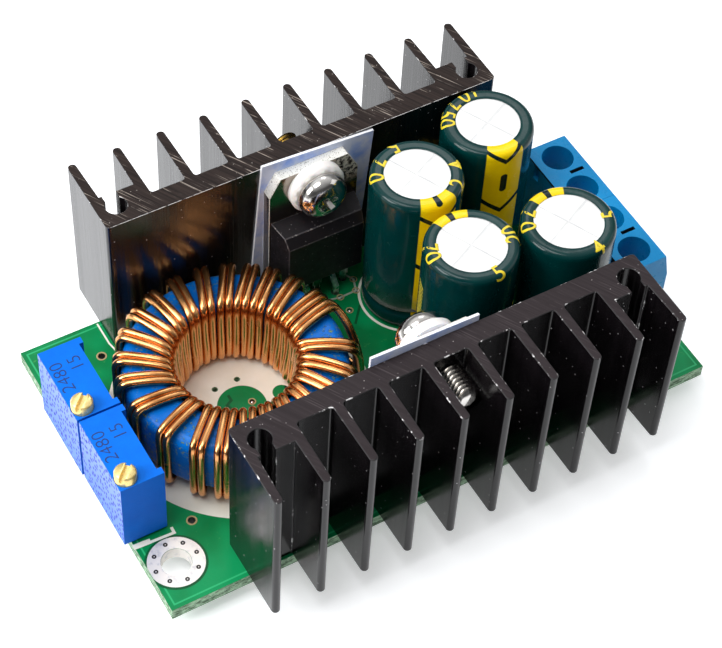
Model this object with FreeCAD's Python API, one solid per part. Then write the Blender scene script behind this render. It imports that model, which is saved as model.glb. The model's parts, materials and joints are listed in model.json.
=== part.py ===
import FreeCAD, Part
import os
from math import cos, pi, radians, sin, sqrt

Vector = FreeCAD.Vector

# Step-down converter module. Lengths are in millimetres.
# While it is built, X runs from the board's left edge, Y from its front edge and Z from its top face.
# Every piece is then moved so that the origin is the front mounting hole's axis, on the board's underside.

# Circuit board
board_end_margin = 0.0
board_behind_sink = 4.2
board_thickness = 1.6
mount_hole_d = 3.2
mount_inset_x = 2.95
mount_inset_y = 4.9
lead_hole_clearance = 0.15
lead_tail = 1.3

# Heatsink extrusion, cut twice from one bar
sink_length = 47.0
sink_height = 19.9
sink_depth = 9.8
sink_base = 2.45
fin_count = 10
fin_root = 1.1
fin_tip = 0.95
fin_root_fillet = 0.35
sink_corner = 0.5
port_bore_d = 2.4
port_from_end = 2.25
port_from_face = 2.5
port_mouth = 1.6
port_block_top = 4.3

# Heatsinks on the board: the front one's flat face, and each one's middle from its package's screw
front_sink_face = 4.6
front_sink_shift = -0.3
rear_sink_shift = 0.1

# Screws that hold the heatsinks from below
sink_screw_d = 2.3
sink_screw_grip = 7.0
sink_screw_head_d = 4.4
sink_screw_head = 1.9
screw_clearance = 0.2

# Cross recess of a pan head, as shares of the head's diameter and height
recess_across = 0.55
recess_width = 0.16
recess_depth = 0.55
recess_turn = 30.0

# Power packages, each clamped to a heatsink by a screw in an insulating bush
package_width = 10.4
package_front_width = 9.2
package_thickness = 4.5
package_height = 9.2
package_bevel = 1.1
package_below_screw = 3.8
package_screw_drop = 3.5
package_stagger = 0.4
tab_width = 10.8
tab_thickness = 1.3
tab_above_screw = 2.6
tab_corner_x = 1.3
tab_corner_z = 2.4
tab_hole_d = 3.7
package_lead_width = 0.7
package_lead_thickness = 0.5
package_lead_depth = 2.6
lead_shoulder_width = 1.1
lead_shoulder_bottom = 0.9
lead_step_top = 2.6
regulator_lead_pitch = 1.7
regulator_lead_count = 5
regulator_lead_step = 1.4
rectifier_lead_pitch = 2.54
rectifier_lead_count = 3
rectifier_lead_step = 0.0

# Heat-conducting pads
pad_thickness = 0.3
front_pad_width = 12.5
rear_pad_width = 13.6
pad_trim = 1.6
pad_hole_d = 4.0
front_pad_shift = -2.0
front_pad_rise = 1.0
front_pad_tilt = 1.8
rear_pad_shift = 0.55
rear_pad_rise = 0.1
rear_pad_tilt = 4.0

# Bushes and screws of the power packages
bush_flange_d = 6.4
bush_flange = 1.3
bush_sleeve = 1.2
bush_fit = 0.05
tab_screw_d = 2.9
tab_screw_length = 9.0
tab_screw_head_d = 5.5
tab_screw_head = 2.0
tapped_clearance = 0.05

# Toroidal inductor, two wires wound side by side, with its room to the pieces around it
trimmer_coil_gap = 0.55
front_coil_gap = 1.95
rear_coil_gap = 0.25
coil_package_gap = 2.65
coil_turns = 24
coil_outer_radius = 12.44
coil_inner_radius = 6.7
coil_base = 0.6
coil_height = 8.3
coil_corner = 0.8
wire_d = 0.82
wire_sides = 8
wire_gap = 0.03
wire_pair_outer = 1.06
wire_pair_inner = 0.877
coil_start_angle = 4.0
coil_top_advance = 6.0
core_edge = 1.3

# Electrolytic capacitors, in two columns of two
can_radius = 4.92
can_above_sink = 0.1
can_bottom = 0.25
can_edge = 0.6
can_groove_z = 2.5
can_groove_height = 1.1
can_groove_depth = 0.4
sleeve_thickness = 0.11
sleeve_gap = 0.02
sleeve_top_opening = 3.55
sleeve_bottom_opening = 4.2
capacitor_lead_d = 0.6
capacitor_lead_pitch = 5.0
capacitor_corner_x = 4.0
capacitor_corner_gap = 0.265
capacitor_column_gap = 0.5
capacitor_row_gap = 0.9
capacitor_2_sink_gap = 0.35
capacitor_3_sink_gap = 3.55
capacitor_4_sink_gap = 1.55
capacitor_terminal_gap = 2.15

# Terminal blocks, two of two ways each
terminal_pitch = 5.08
terminal_ways = 2
terminal_blocks = 2
terminal_front = 8.73
terminal_depth = 6.0
terminal_height = 10.0
terminal_slope_x = 0.7
terminal_slope_z = 3.3
terminal_axis_from_back = 2.75
terminal_joint_gap = 0.02
clamp_screw_d = 2.4
clamp_head_d = 3.4
clamp_head = 1.5
clamp_slot_width = 0.7
clamp_slot_depth = 0.6
clamp_slot_angle = 25.0
clamp_slot_turn = 35.0
clamp_edge = 0.2
clamp_running_gap = 0.05
driver_hole_d = 3.6
cage_width = 3.9
cage_depth = 3.8
cage_bottom = 0.9
cage_floor = 0.7
cage_side = 0.5
cage_roof = 0.9
wire_room = 2.2
pressure_plate = 0.4
cage_clearance = 0.05
terminal_pin_width = 1.0
entry_width = 3.1
entry_height = 3.0
entry_bottom = 1.3
block_slot_from_back = 2.8
block_slot_length = 1.75
block_slot_width = 0.45
block_slot_depth = 1.4
window_z = 8.7
window_width = 1.0
window_height = 1.9
window_depth = 0.5

# Trimmers, standing side by side and overhanging the left edge
trimmer_left = -0.85
trimmer_front = 9.0
trimmer_width = 4.85
trimmer_length = 9.55
trimmer_height = 9.7
trimmer_foot = 0.4
trimmer_gap = 0.25
trimmer_rear_shift = -0.1
trimmer_recess = 0.5
trimmer_end_rib = 0.8
trimmer_screw_x = 1.2
trimmer_screw_y = 1.3
trimmer_screw_d = 2.3
trimmer_screw_rise = 1.15
trimmer_screw_seat = 2.5
trimmer_screw_gap = 0.05
trimmer_screw_edge = 0.2
trimmer_slot_width = 0.55
trimmer_slot_depth = 0.7
trimmer_slot_angle = 45.0
trimmer_pin_d = 0.5
trimmer_pin_pitch = 2.54
trimmer_pin_x = 2.4

# Small holes in the board, X, Y and diameter
small_holes = [(7.6, 32.2, 0.8), (6.6, 8.64, 0.8), (19.15, 22.5, 0.6), (16.4, 22.4, 0.6), (19.2, 19.1, 0.6),
               (37.3, 28.8, 0.5), (36.75, 27.25, 0.5), (34.7, 27.2, 0.5), (34.7, 25.1, 0.5)]

# Control parts soldered to the underside
amplifier_from_package = 2.5
amplifier_y = 18.5
amplifier_length = 4.9
amplifier_width = 3.9
amplifier_thickness = 1.35
amplifier_lead_pitch = 1.27
amplifier_lead_width = 0.45
amplifier_lead_reach = 1.05
amplifier_lead_thickness = 0.22
amplifier_stand_off = 0.1
amplifier_chamfer = 0.25
shunt_from_capacitor = 5.5
shunt_y = 19.0
shunt_length = 6.3
shunt_width = 3.2
shunt_thickness = 0.7
chip_length = 2.0
chip_width = 1.25
chip_thickness = 0.6
chip_row_places = [(14.0, 26.5), (29.5, 12.5)]
chip_row_counts = [5, 4]
chip_spacing = 2.6

# How far a cutting body runs past the piece that it cuts
overshoot = 1.0

# Places that follow from the sizes above, from the left edge to the right and from the front to the rear
skin_radius = can_radius + sleeve_gap + sleeve_thickness
coil_reach = coil_outer_radius + wire_d / 2
coil_x = trimmer_left + trimmer_width + trimmer_coil_gap + coil_reach
coil_y = front_sink_face + front_coil_gap + coil_reach
rear_package_x = coil_x + coil_reach + coil_package_gap
front_package_x = rear_package_x - package_stagger
front_sink_left = front_package_x + front_sink_shift - sink_length / 2
rear_sink_left = rear_package_x + rear_sink_shift - sink_length / 2
package_front = pad_thickness + package_thickness
package_screw_z = sink_height - package_screw_drop
package_bottom = package_screw_z - package_below_screw - package_height
tab_top = package_screw_z + tab_above_screw
regulator_leads = (regulator_lead_pitch, regulator_lead_count, regulator_lead_step)
rectifier_leads = (rectifier_lead_pitch, rectifier_lead_count, rectifier_lead_step)
pad_height = sink_height - pad_trim
can_height = sink_height + can_above_sink - can_bottom

# The rear heatsink clears the inductor and the capacitors, whichever need more room
capacitor_corner_y = sqrt((skin_radius + capacitor_corner_gap) ** 2 - capacitor_corner_x ** 2)
capacitor_3_y = front_sink_face + capacitor_3_sink_gap + skin_radius
capacitor_4_y = front_sink_face + capacitor_4_sink_gap + skin_radius
capacitor_room = capacitor_3_y + 2 * skin_radius + capacitor_row_gap + capacitor_corner_y + package_front
rear_sink_face = max(coil_y + coil_reach + rear_coil_gap, capacitor_room)
capacitor_1_y = rear_sink_face - package_front - capacitor_corner_y
capacitor_2_y = rear_sink_face - capacitor_2_sink_gap - skin_radius
first_column_x = rear_package_x + package_front_width / 2 + capacitor_corner_x
second_column_x = first_column_x + 2 * skin_radius + capacitor_column_gap
capacitor_places = [(first_column_x, capacitor_1_y), (second_column_x, capacitor_2_y),
                    (first_column_x, capacitor_3_y), (second_column_x, capacitor_4_y)]

terminal_back_x = second_column_x + skin_radius + capacitor_terminal_gap
terminal_face_x = terminal_back_x + terminal_depth
terminal_axis_x = terminal_back_x + terminal_axis_from_back
block_slot_x = terminal_back_x + block_slot_from_back
board_length = terminal_face_x + board_end_margin
board_width = rear_sink_face + board_behind_sink
amplifier_x = front_package_x + amplifier_from_package
shunt_x = first_column_x + shunt_from_capacitor


def box(x0, x1, y0, y1, z0, z1):
    return Part.makeBox(x1 - x0, y1 - y0, z1 - z0, Vector(x0, y0, z0))


def upright(x, y, z0, z1, diameter):
    return Part.makeCylinder(diameter / 2, z1 - z0, Vector(x, y, z0))


def turned(corners, centre, axis):
    """Revolve a closed outline of (radius, distance) corners about an axis through centre."""
    side = Vector(0, 0, 1) if abs(axis.z) < 0.5 else Vector(1, 0, 0)
    points = [centre + side * radius + axis * distance for radius, distance in corners]
    face = Part.Face(Part.makePolygon(points + [points[0]]))
    return face.revolve(centre, axis, 360)


def save(name, shape):
    placed = shape.copy()
    placed.translate(Vector(-mount_inset_x, -mount_inset_y, board_thickness))
    os.makedirs("parts", exist_ok=True)
    placed.exportStep("parts/" + name + ".step")


# Heatsink

class Outline:
    """Lines and arcs drawn one after another in the extrusion's own plane."""

    def __init__(self, u, v):
        self.here = Vector(u, v, 0)
        self.edges = []

    def line(self, u, v):
        there = Vector(u, v, 0)
        self.edges.append(Part.LineSegment(self.here, there).toShape())
        self.here = there

    def arc(self, middle, end):
        there = Vector(end[0], end[1], 0)
        self.edges.append(Part.Arc(self.here, Vector(middle[0], middle[1], 0), there).toShape())
        self.here = there


def fin_end(outline, centre, rounding):
    outline.line(centre + rounding, sink_depth - rounding)
    outline.arc((centre, sink_depth), (centre - rounding, sink_depth - rounding))


def sink_outline():
    """The extrusion's section: U along the sink from its left end, V outward from the flat face."""
    pitch = (sink_length - fin_root) / (fin_count - 1)
    bore = port_bore_d / 2
    mouth_v = port_from_face + sqrt(bore ** 2 - (port_mouth / 2) ** 2)
    bend = sink_corner * (1 - sqrt(0.5))
    fillet_bend = fin_root_fillet * (1 - sqrt(0.5))
    tip = fin_tip / 2
    path = Outline(sink_corner, 0)
    path.line(sink_length - sink_corner, 0)
    path.arc((sink_length - bend, bend), (sink_length, sink_corner))
    fin_end(path, sink_length - tip, tip)

    # Right screw port, between the last two fins
    centre = sink_length - port_from_end
    path.line(sink_length - fin_root, port_block_top)
    path.line(centre + port_mouth / 2, port_block_top)
    path.line(centre + port_mouth / 2, mouth_v)
    path.arc((centre, port_from_face - bore), (centre - port_mouth / 2, mouth_v))
    path.line(centre - port_mouth / 2, port_block_top)
    path.line(sink_length - pitch, port_block_top)

    for number in range(fin_count - 2, 0, -1):
        middle = number * pitch + fin_root / 2
        right = middle + fin_root / 2
        left = middle - fin_root / 2
        fin_end(path, middle, tip)
        if number > 1:
            path.line(left, sink_base + fin_root_fillet)
            path.arc((left - fillet_bend, sink_base + fillet_bend), (left - fin_root_fillet, sink_base))
            next_right = right - pitch
            path.line(next_right + fin_root_fillet, sink_base)
            path.arc((next_right + fillet_bend, sink_base + fillet_bend),
                     (next_right, sink_base + fin_root_fillet))

    # Left screw port, between the first two fins
    path.line(pitch, port_block_top)
    path.line(port_from_end + port_mouth / 2, port_block_top)
    path.line(port_from_end + port_mouth / 2, mouth_v)
    path.arc((port_from_end, port_from_face - bore), (port_from_end - port_mouth / 2, mouth_v))
    path.line(port_from_end - port_mouth / 2, port_block_top)
    path.line(fin_root, port_block_top)
    fin_end(path, tip, tip)
    path.line(0, sink_corner)
    path.arc((bend, bend), (sink_corner, 0))
    return Part.Face(Part.Wire(path.edges))


def sink_placement(left, face_y, outward):
    """Turn the section's V axis to outward, which is -1 for the front sink and +1 for the rear one."""
    if outward > 0:
        return FreeCAD.Placement(Vector(left, face_y, 0), FreeCAD.Rotation())
    return FreeCAD.Placement(Vector(left + sink_length, face_y, 0), FreeCAD.Rotation(Vector(0, 0, 1), 180))


def heatsink(left, face_y, outward, screw_x):
    section = sink_outline()
    section.Placement = sink_placement(left, face_y, outward)
    sink = section.extrude(Vector(0, 0, sink_height))
    tapped = tab_screw_d / 2 + tapped_clearance
    start = Vector(screw_x, face_y - outward * sink_base, package_screw_z)
    hole = Part.makeCylinder(tapped, sink_base * 3, start, Vector(0, outward, 0))
    return sink.cut(hole)


def sink_screw_places():
    places = []
    sinks = ((front_sink_left, front_sink_face, -1), (rear_sink_left, rear_sink_face, 1))
    for left, face_y, outward in sinks:
        for u in (port_from_end, sink_length - port_from_end):
            places.append((left + u, face_y + outward * port_from_face))
    return places


def pan_head(radius, height, rim):
    """Corners of a low domed head, from its rim to its top on the axis."""
    return [(radius, 0), (radius, rim), (radius * 0.86, height * 0.78), (radius * 0.55, height * 0.95),
            (radius * 0.3, height), (0, height)]


def cross_recess(centre, axis, side, across, width, depth):
    """Two crossing slots sunk from centre against axis, with side as one arm's direction."""
    other = axis.cross(side)
    recess = None
    for along, beside in ((side, other), (other, side)):
        corner = centre - along * (across / 2) - beside * (width / 2) - axis * depth
        points = [corner, corner + along * across, corner + along * across + beside * width,
                  corner + beside * width, corner]
        arm = Part.Face(Part.makePolygon(points)).extrude(axis * (depth * 2))
        recess = arm if recess is None else recess.fuse(arm)
    return recess


def machine_screw(centre, axis, shank_d, length, head_d, head_height):
    """A pan-head screw with its head's underside at centre and its head along axis."""
    radius = shank_d / 2
    corners = [(0, -length), (radius * 0.6, -length), (radius, -length + radius * 0.5), (radius, 0)]
    screw = turned(corners + pan_head(head_d / 2, head_height, head_height * 0.35), centre, axis)
    side = Vector(0, 0, 1) if abs(axis.z) < 0.5 else Vector(1, 0, 0)
    side = FreeCAD.Rotation(axis, recess_turn).multVec(side)
    recess = cross_recess(centre + axis * head_height, axis, side, head_d * recess_across,
                          head_d * recess_width, head_height * recess_depth)
    return screw.cut(recess)


def sink_screws():
    down = Vector(0, 0, -1)
    screws = []
    for x, y in sink_screw_places():
        under = Vector(x, y, -board_thickness)
        screws.append(machine_screw(under, down, sink_screw_d, board_thickness + sink_screw_grip,
                                    sink_screw_head_d, sink_screw_head))
    return Part.makeCompound(screws)


# Power packages, built facing +Y with the heatsink's face at Y = 0 and the screw at X = 0

def on_sink(shape, screw_x, face_y, facing):
    turn = FreeCAD.Rotation() if facing > 0 else FreeCAD.Rotation(Vector(0, 0, 1), 180)
    placed = shape.copy()
    placed.Placement = FreeCAD.Placement(Vector(screw_x, face_y, 0), turn).multiply(placed.Placement)
    return placed


def package_case():
    front = package_front
    back = pad_thickness + tab_thickness
    top = package_bottom + package_height
    half_back = package_width / 2
    half_front = package_front_width / 2
    draft = (package_width - package_front_width) / 2
    case = Part.makeWedge(-half_back, back, package_bottom, package_bottom + draft, -half_front,
                          half_back, front, top, top - draft, half_front)
    bevel = Part.makePolygon([Vector(-half_back, front - package_bevel, top), Vector(-half_back, front, top),
                              Vector(-half_back, front, top - draft - package_bevel),
                              Vector(-half_back, front - package_bevel, top)])
    return case.cut(Part.Face(bevel).extrude(Vector(package_width, 0, 0)))


def package_lead(x, step):
    """A flat lead from the case to its tail below the board, stepped forward or else with a wide shoulder."""
    near = pad_thickness + package_lead_depth - package_lead_thickness / 2
    far = near + package_lead_thickness
    tail = -board_thickness - lead_tail
    bend = lead_step_top - step
    outline = [(near, package_bottom), (far, package_bottom), (far, lead_step_top), (far + step, bend),
               (far + step, tail), (near + step, tail), (near + step, bend), (near, lead_step_top)]
    if not step:
        outline = [(near, package_bottom), (far, package_bottom), (far, tail), (near, tail)]
    side = [Vector(x - package_lead_width / 2, y, z) for y, z in outline]
    lead = Part.Face(Part.makePolygon(side + [side[0]])).extrude(Vector(package_lead_width, 0, 0))
    if step:
        return lead
    shoulder = box(x - lead_shoulder_width / 2, x + lead_shoulder_width / 2, near, far, lead_shoulder_bottom,
                   package_bottom)
    return lead.fuse(shoulder).removeSplitter()


def package_tab():
    """The metal back, with the middle lead that is one piece with it."""
    half = tab_width / 2
    back = pad_thickness
    outline = [(-half, package_bottom), (half, package_bottom), (half, tab_top - tab_corner_z),
               (half - tab_corner_x, tab_top), (-half + tab_corner_x, tab_top),
               (-half, tab_top - tab_corner_z), (-half, package_bottom)]
    plate = Part.Face(Part.makePolygon([Vector(x, back, z) for x, z in outline]))
    plate = plate.extrude(Vector(0, tab_thickness, 0))
    start = Vector(0, back - tab_thickness, package_screw_z)
    hole = Part.makeCylinder(tab_hole_d / 2, tab_thickness * 3, start, Vector(0, 1, 0))
    foot_y = pad_thickness + package_lead_depth + package_lead_thickness / 2
    foot = box(-package_lead_width / 2, package_lead_width / 2, back, foot_y,
               package_bottom - package_lead_thickness, package_bottom)
    return plate.cut(hole).fuse([foot, package_lead(0, 0)]).removeSplitter()


def side_leads(pitch, count, step):
    """The leads beside the middle one, those next to it stepped forward."""
    leads = []
    for place in range(-(count // 2), count // 2 + 1):
        if place != 0:
            leads.append(package_lead(place * pitch, step if place % 2 else 0))
    return Part.makeCompound(leads)


def insulating_bush():
    face = pad_thickness + tab_thickness
    bore = tab_screw_d / 2 + bush_fit
    sleeve = tab_hole_d / 2 - bush_fit
    flange = bush_flange_d / 2
    edge = bush_flange * 0.3
    corners = [(bore, -bush_sleeve), (sleeve, -bush_sleeve), (sleeve, 0), (flange, 0),
               (flange, bush_flange - edge), (flange - edge, bush_flange), (bore, bush_flange)]
    return turned(corners, Vector(0, face, package_screw_z), Vector(0, 1, 0))


def tab_screw():
    seat = pad_thickness + tab_thickness + bush_flange
    return machine_screw(Vector(0, seat, package_screw_z), Vector(0, 1, 0), tab_screw_d, tab_screw_length,
                         tab_screw_head_d, tab_screw_head)


def thermal_pad(width, shift, rise, tilt, face_y, facing, screw_x):
    x = screw_x + shift
    top = sink_height + rise
    near = face_y if facing > 0 else face_y - pad_thickness
    pad = box(x - width / 2, x + width / 2, near, near + pad_thickness, top - pad_height, top)
    pad.rotate(Vector(x, near, top - pad_height / 2), Vector(0, 1, 0), tilt)
    hole = Part.makeCylinder(pad_hole_d / 2, pad_thickness * 3,
                             Vector(screw_x, near - pad_thickness, package_screw_z), Vector(0, 1, 0))
    return pad.cut(hole)


# Inductor

def core():
    inner = coil_inner_radius + wire_d / 2 + wire_gap
    outer = coil_outer_radius - wire_d / 2 - wire_gap
    bottom = coil_base + wire_d / 2 + wire_gap
    top = coil_base + coil_height - wire_d / 2 - wire_gap
    ring = upright(coil_x, coil_y, bottom, top, outer * 2)
    ring = ring.cut(upright(coil_x, coil_y, bottom, top, inner * 2))
    rims = [edge for edge in ring.Edges if isinstance(edge.Curve, Part.Circle)]
    return ring.makeFillet(core_edge, rims)


def coil_point(radius, angle, offset, z):
    """A point of one wire: offset is its distance from the pair's middle line, across the radius."""
    turn = radians(angle)
    x = coil_x + radius * cos(turn) - offset * sin(turn)
    y = coil_y + radius * sin(turn) + offset * cos(turn)
    return Vector(x, y, z)


def wire_route(side):
    """Centre line of one wire of the pair, from its tail outside the core to its tail inside."""
    low = coil_base
    high = coil_base + coil_height
    outside = side * wire_pair_outer / 2
    inside = side * wire_pair_inner / 2
    step = 360.0 / coil_turns
    tail = -board_thickness - lead_tail
    points = [coil_point(coil_outer_radius, coil_start_angle, outside, tail)]
    for turn in range(coil_turns):
        out_angle = coil_start_angle + turn * step
        in_angle = out_angle + coil_top_advance
        next_angle = out_angle + step
        if turn > 0:
            points.append(coil_point(coil_outer_radius, out_angle, outside, low + coil_corner))
        points.append(coil_point(coil_outer_radius, out_angle, outside, high - coil_corner))
        points.append(coil_point(coil_outer_radius - coil_corner, out_angle, outside, high))
        points.append(coil_point(coil_inner_radius + coil_corner, in_angle, inside, high))
        points.append(coil_point(coil_inner_radius, in_angle, inside, high - coil_corner))
        if turn < coil_turns - 1:
            points.append(coil_point(coil_inner_radius, in_angle, inside, low + coil_corner))
            points.append(coil_point(coil_inner_radius + coil_corner, in_angle, inside, low))
            points.append(coil_point(coil_outer_radius - coil_corner, next_angle, outside, low))
        else:
            points.append(coil_point(coil_inner_radius, in_angle, inside, tail))
    return points


def bent_wire(route, diameter, sides):
    """A wire of straight runs that meet in mitres, made of flat faces from ring to ring."""
    start = (route[1] - route[0]).normalize()
    across = start.cross(Vector(0, 1, 0)).normalize()
    beside = start.cross(across)
    ring = []
    for number in range(sides):
        angle = 2 * pi * (number + 0.5) / sides
        ring.append(route[0] + (across * cos(angle) + beside * sin(angle)) * (diameter / 2))
    faces = [Part.Face(Part.makePolygon(ring + [ring[0]]))]
    for index in range(1, len(route)):
        run = (route[index] - route[index - 1]).normalize()
        if index + 1 < len(route):
            normal = run + (route[index + 1] - route[index]).normalize()
        else:
            normal = run
        moved = [point + run * ((route[index] - point).dot(normal) / run.dot(normal)) for point in ring]
        for number in range(sides):
            following = (number + 1) % sides
            corners = [ring[number], ring[following], moved[following], moved[number], ring[number]]
            faces.append(Part.Face(Part.makePolygon(corners)))
        ring = moved
    faces.append(Part.Face(Part.makePolygon(ring + [ring[0]])))
    solid = Part.makeSolid(Part.makeShell(faces))
    if solid.Volume < 0:
        solid.reverse()
    return solid


# Capacitors

def can_outline(grow):
    """Outline of the can, or of the sleeve's skin when grown by its distance from the can."""
    radius = can_radius + grow
    bottom = can_bottom - grow
    top = can_bottom + can_height + grow
    groove_low = can_groove_z - can_groove_height / 2
    groove_high = can_groove_z + can_groove_height / 2
    bend = can_edge * (1 - sqrt(0.5))
    path = Outline(0, bottom)
    path.line(radius - can_edge, bottom)
    path.arc((radius - bend, bottom + bend), (radius, bottom + can_edge))
    path.line(radius, groove_low)
    path.arc((radius - can_groove_depth, can_groove_z), (radius, groove_high))
    path.line(radius, top - can_edge)
    path.arc((radius - bend, top - bend), (radius - can_edge, top))
    path.line(0, top)
    path.line(0, bottom)
    face = Part.Face(Part.Wire(path.edges))
    face.rotate(Vector(0, 0, 0), Vector(1, 0, 0), 90)
    return face.revolve(Vector(0, 0, 0), Vector(0, 0, 1), 360)


def capacitor_sleeve():
    skin = can_outline(sleeve_gap + sleeve_thickness).cut(can_outline(sleeve_gap))
    top = can_bottom + can_height
    skin = skin.cut(upright(0, 0, top - overshoot, top + overshoot, sleeve_top_opening * 2))
    return skin.cut(upright(0, 0, can_bottom - overshoot, can_bottom + overshoot,
                            sleeve_bottom_opening * 2))


def capacitor_leads(x, y):
    tail = -board_thickness - lead_tail
    half = capacitor_lead_pitch / 2
    return Part.makeCompound([upright(x, y + side * half, tail, can_bottom, capacitor_lead_d)
                              for side in (-1, 1)])


# Terminal blocks

def way_y(way):
    return terminal_front + (way + 0.5) * terminal_pitch


def cage_top():
    return cage_bottom + cage_floor + wire_room + cage_roof


def terminal_housing(block):
    front = terminal_front + block * terminal_ways * terminal_pitch + terminal_joint_gap / 2
    length = terminal_ways * terminal_pitch - terminal_joint_gap
    outline = [(terminal_back_x, 0), (terminal_face_x, 0),
               (terminal_face_x, terminal_height - terminal_slope_z),
               (terminal_face_x - terminal_slope_x, terminal_height),
               (terminal_back_x, terminal_height), (terminal_back_x, 0)]
    housing = Part.Face(Part.makePolygon([Vector(x, front, z) for x, z in outline]))
    housing = housing.extrude(Vector(0, length, 0))
    ways = range(block * terminal_ways, (block + 1) * terminal_ways)
    cuts = []
    for way in ways:
        y = way_y(way)
        half_cage = cage_width / 2 + cage_clearance
        half_depth = cage_depth / 2 + cage_clearance
        cuts.append(box(terminal_axis_x - half_depth, terminal_axis_x + half_depth, y - half_cage,
                        y + half_cage, cage_bottom - cage_clearance, cage_top() + cage_clearance))
        cuts.append(upright(terminal_axis_x, y, cage_bottom, terminal_height + overshoot, driver_hole_d))
        cuts.append(box(terminal_axis_x, terminal_face_x + overshoot, y - entry_width / 2,
                        y + entry_width / 2, entry_bottom, entry_bottom + entry_height))
        cuts.append(box(terminal_back_x - overshoot, terminal_back_x + window_depth, y - window_width / 2,
                        y + window_width / 2, window_z - window_height / 2, window_z + window_height / 2))
        pin_hole = terminal_pin_width / 2 + cage_clearance
        cuts.append(box(terminal_axis_x - pin_hole, terminal_axis_x + pin_hole, y - pin_hole, y + pin_hole,
                        -overshoot, cage_bottom))
    middle = terminal_front + (block * terminal_ways + 1) * terminal_pitch
    cuts.append(box(block_slot_x, block_slot_x + block_slot_length, middle - block_slot_width / 2,
                    middle + block_slot_width / 2, terminal_height - block_slot_depth,
                    terminal_height + overshoot))
    return housing.cut(cuts)


def clamp_cage(way):
    """A metal frame open towards the wire entry, tapped for the screw, with its pin below."""
    y = way_y(way)
    half = cage_width / 2
    near = terminal_axis_x - cage_depth / 2
    far = terminal_axis_x + cage_depth / 2
    frame = box(near, far, y - half, y + half, cage_bottom, cage_top())
    room = box(near - overshoot, far + overshoot, y - half + cage_side, y + half - cage_side,
               cage_bottom + cage_floor, cage_bottom + cage_floor + wire_room)
    thread = upright(terminal_axis_x, y, cage_bottom + cage_floor, cage_top() + overshoot,
                     clamp_screw_d + 2 * clamp_running_gap)
    pin_half = terminal_pin_width / 2
    pin = box(terminal_axis_x - pin_half, terminal_axis_x + pin_half, y - pin_half, y + pin_half,
              -board_thickness - lead_tail, cage_bottom)
    return frame.cut([room, thread]).fuse(pin).removeSplitter()


def clamp_plate(way):
    """The plate under the screw's tip, which presses the wire down."""
    y = way_y(way)
    half = cage_width / 2 - cage_side - clamp_running_gap
    half_depth = cage_depth / 2 - clamp_running_gap
    bottom = cage_bottom + cage_floor + clamp_running_gap
    return box(terminal_axis_x - half_depth, terminal_axis_x + half_depth, y - half, y + half, bottom,
               bottom + pressure_plate)


def clamp_screw(way):
    y = way_y(way)
    tip = cage_bottom + cage_floor + clamp_running_gap * 2 + pressure_plate
    under_head = cage_top() + clamp_running_gap
    top = under_head + clamp_head
    shank = clamp_screw_d / 2
    head = clamp_head_d / 2
    corners = [(0, tip), (shank * 0.7, tip), (shank, tip + shank * 0.3), (shank, under_head),
               (head, under_head), (head, top - clamp_edge), (head - clamp_edge, top), (0, top)]
    screw = turned(corners, Vector(terminal_axis_x, y, 0), Vector(0, 0, 1))
    slot = box(terminal_axis_x - clamp_head_d, terminal_axis_x + clamp_head_d, y - clamp_slot_width / 2,
               y + clamp_slot_width / 2, top - clamp_slot_depth, top + overshoot)
    slot.rotate(Vector(terminal_axis_x, y, 0), Vector(0, 0, 1), clamp_slot_angle + clamp_slot_turn * way)
    return screw.cut(slot)


# Trimmers

def trimmer_corner(number):
    return (trimmer_left + number * trimmer_rear_shift,
            trimmer_front + number * (trimmer_length + trimmer_gap))


def trimmer_housing(number):
    x, y = trimmer_corner(number)
    top = trimmer_foot + trimmer_height
    body = box(x, x + trimmer_width, y, y + trimmer_length, trimmer_foot, top)
    side_recess = box(x + trimmer_width - trimmer_recess, x + trimmer_width + overshoot, y + trimmer_end_rib,
                      y + trimmer_length - trimmer_end_rib, 0, top + overshoot)
    seat = upright(x + trimmer_screw_x, y + trimmer_screw_y, top - trimmer_screw_seat, top + overshoot,
                   trimmer_screw_d + 2 * trimmer_screw_gap)
    body = body.cut([side_recess, seat])
    far_foot = y + trimmer_length - trimmer_end_rib - trimmer_recess
    feet = [box(x + trimmer_recess, x + trimmer_width - trimmer_recess, foot_y, foot_y + trimmer_end_rib, 0,
                trimmer_foot) for foot_y in (y + trimmer_recess, far_foot)]
    return body.fuse(feet).removeSplitter()


def trimmer_screw(number):
    x, y = trimmer_corner(number)
    top = trimmer_foot + trimmer_height
    centre_x = x + trimmer_screw_x
    centre_y = y + trimmer_screw_y
    radius = trimmer_screw_d / 2
    bottom = top - trimmer_screw_seat + trimmer_screw_gap
    crown = top + trimmer_screw_rise
    corners = [(0, bottom), (radius, bottom), (radius, crown - trimmer_screw_edge),
               (radius - trimmer_screw_edge, crown), (0, crown)]
    screw = turned(corners, Vector(centre_x, centre_y, 0), Vector(0, 0, 1))
    slot = box(centre_x - trimmer_screw_d, centre_x + trimmer_screw_d, centre_y - trimmer_slot_width / 2,
               centre_y + trimmer_slot_width / 2, crown - trimmer_slot_depth, crown + overshoot)
    slot.rotate(Vector(centre_x, centre_y, 0), Vector(0, 0, 1), trimmer_slot_angle)
    return screw.cut(slot)


def trimmer_pin_places(number):
    x, y = trimmer_corner(number)
    middle = y + trimmer_length / 2
    return [(x + trimmer_pin_x, middle + step * trimmer_pin_pitch) for step in (-1, 0, 1)]


def trimmer_pins(number):
    tail = -board_thickness - lead_tail
    return Part.makeCompound([upright(x, y, tail, trimmer_foot, trimmer_pin_d)
                              for x, y in trimmer_pin_places(number)])


# Control parts

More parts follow.
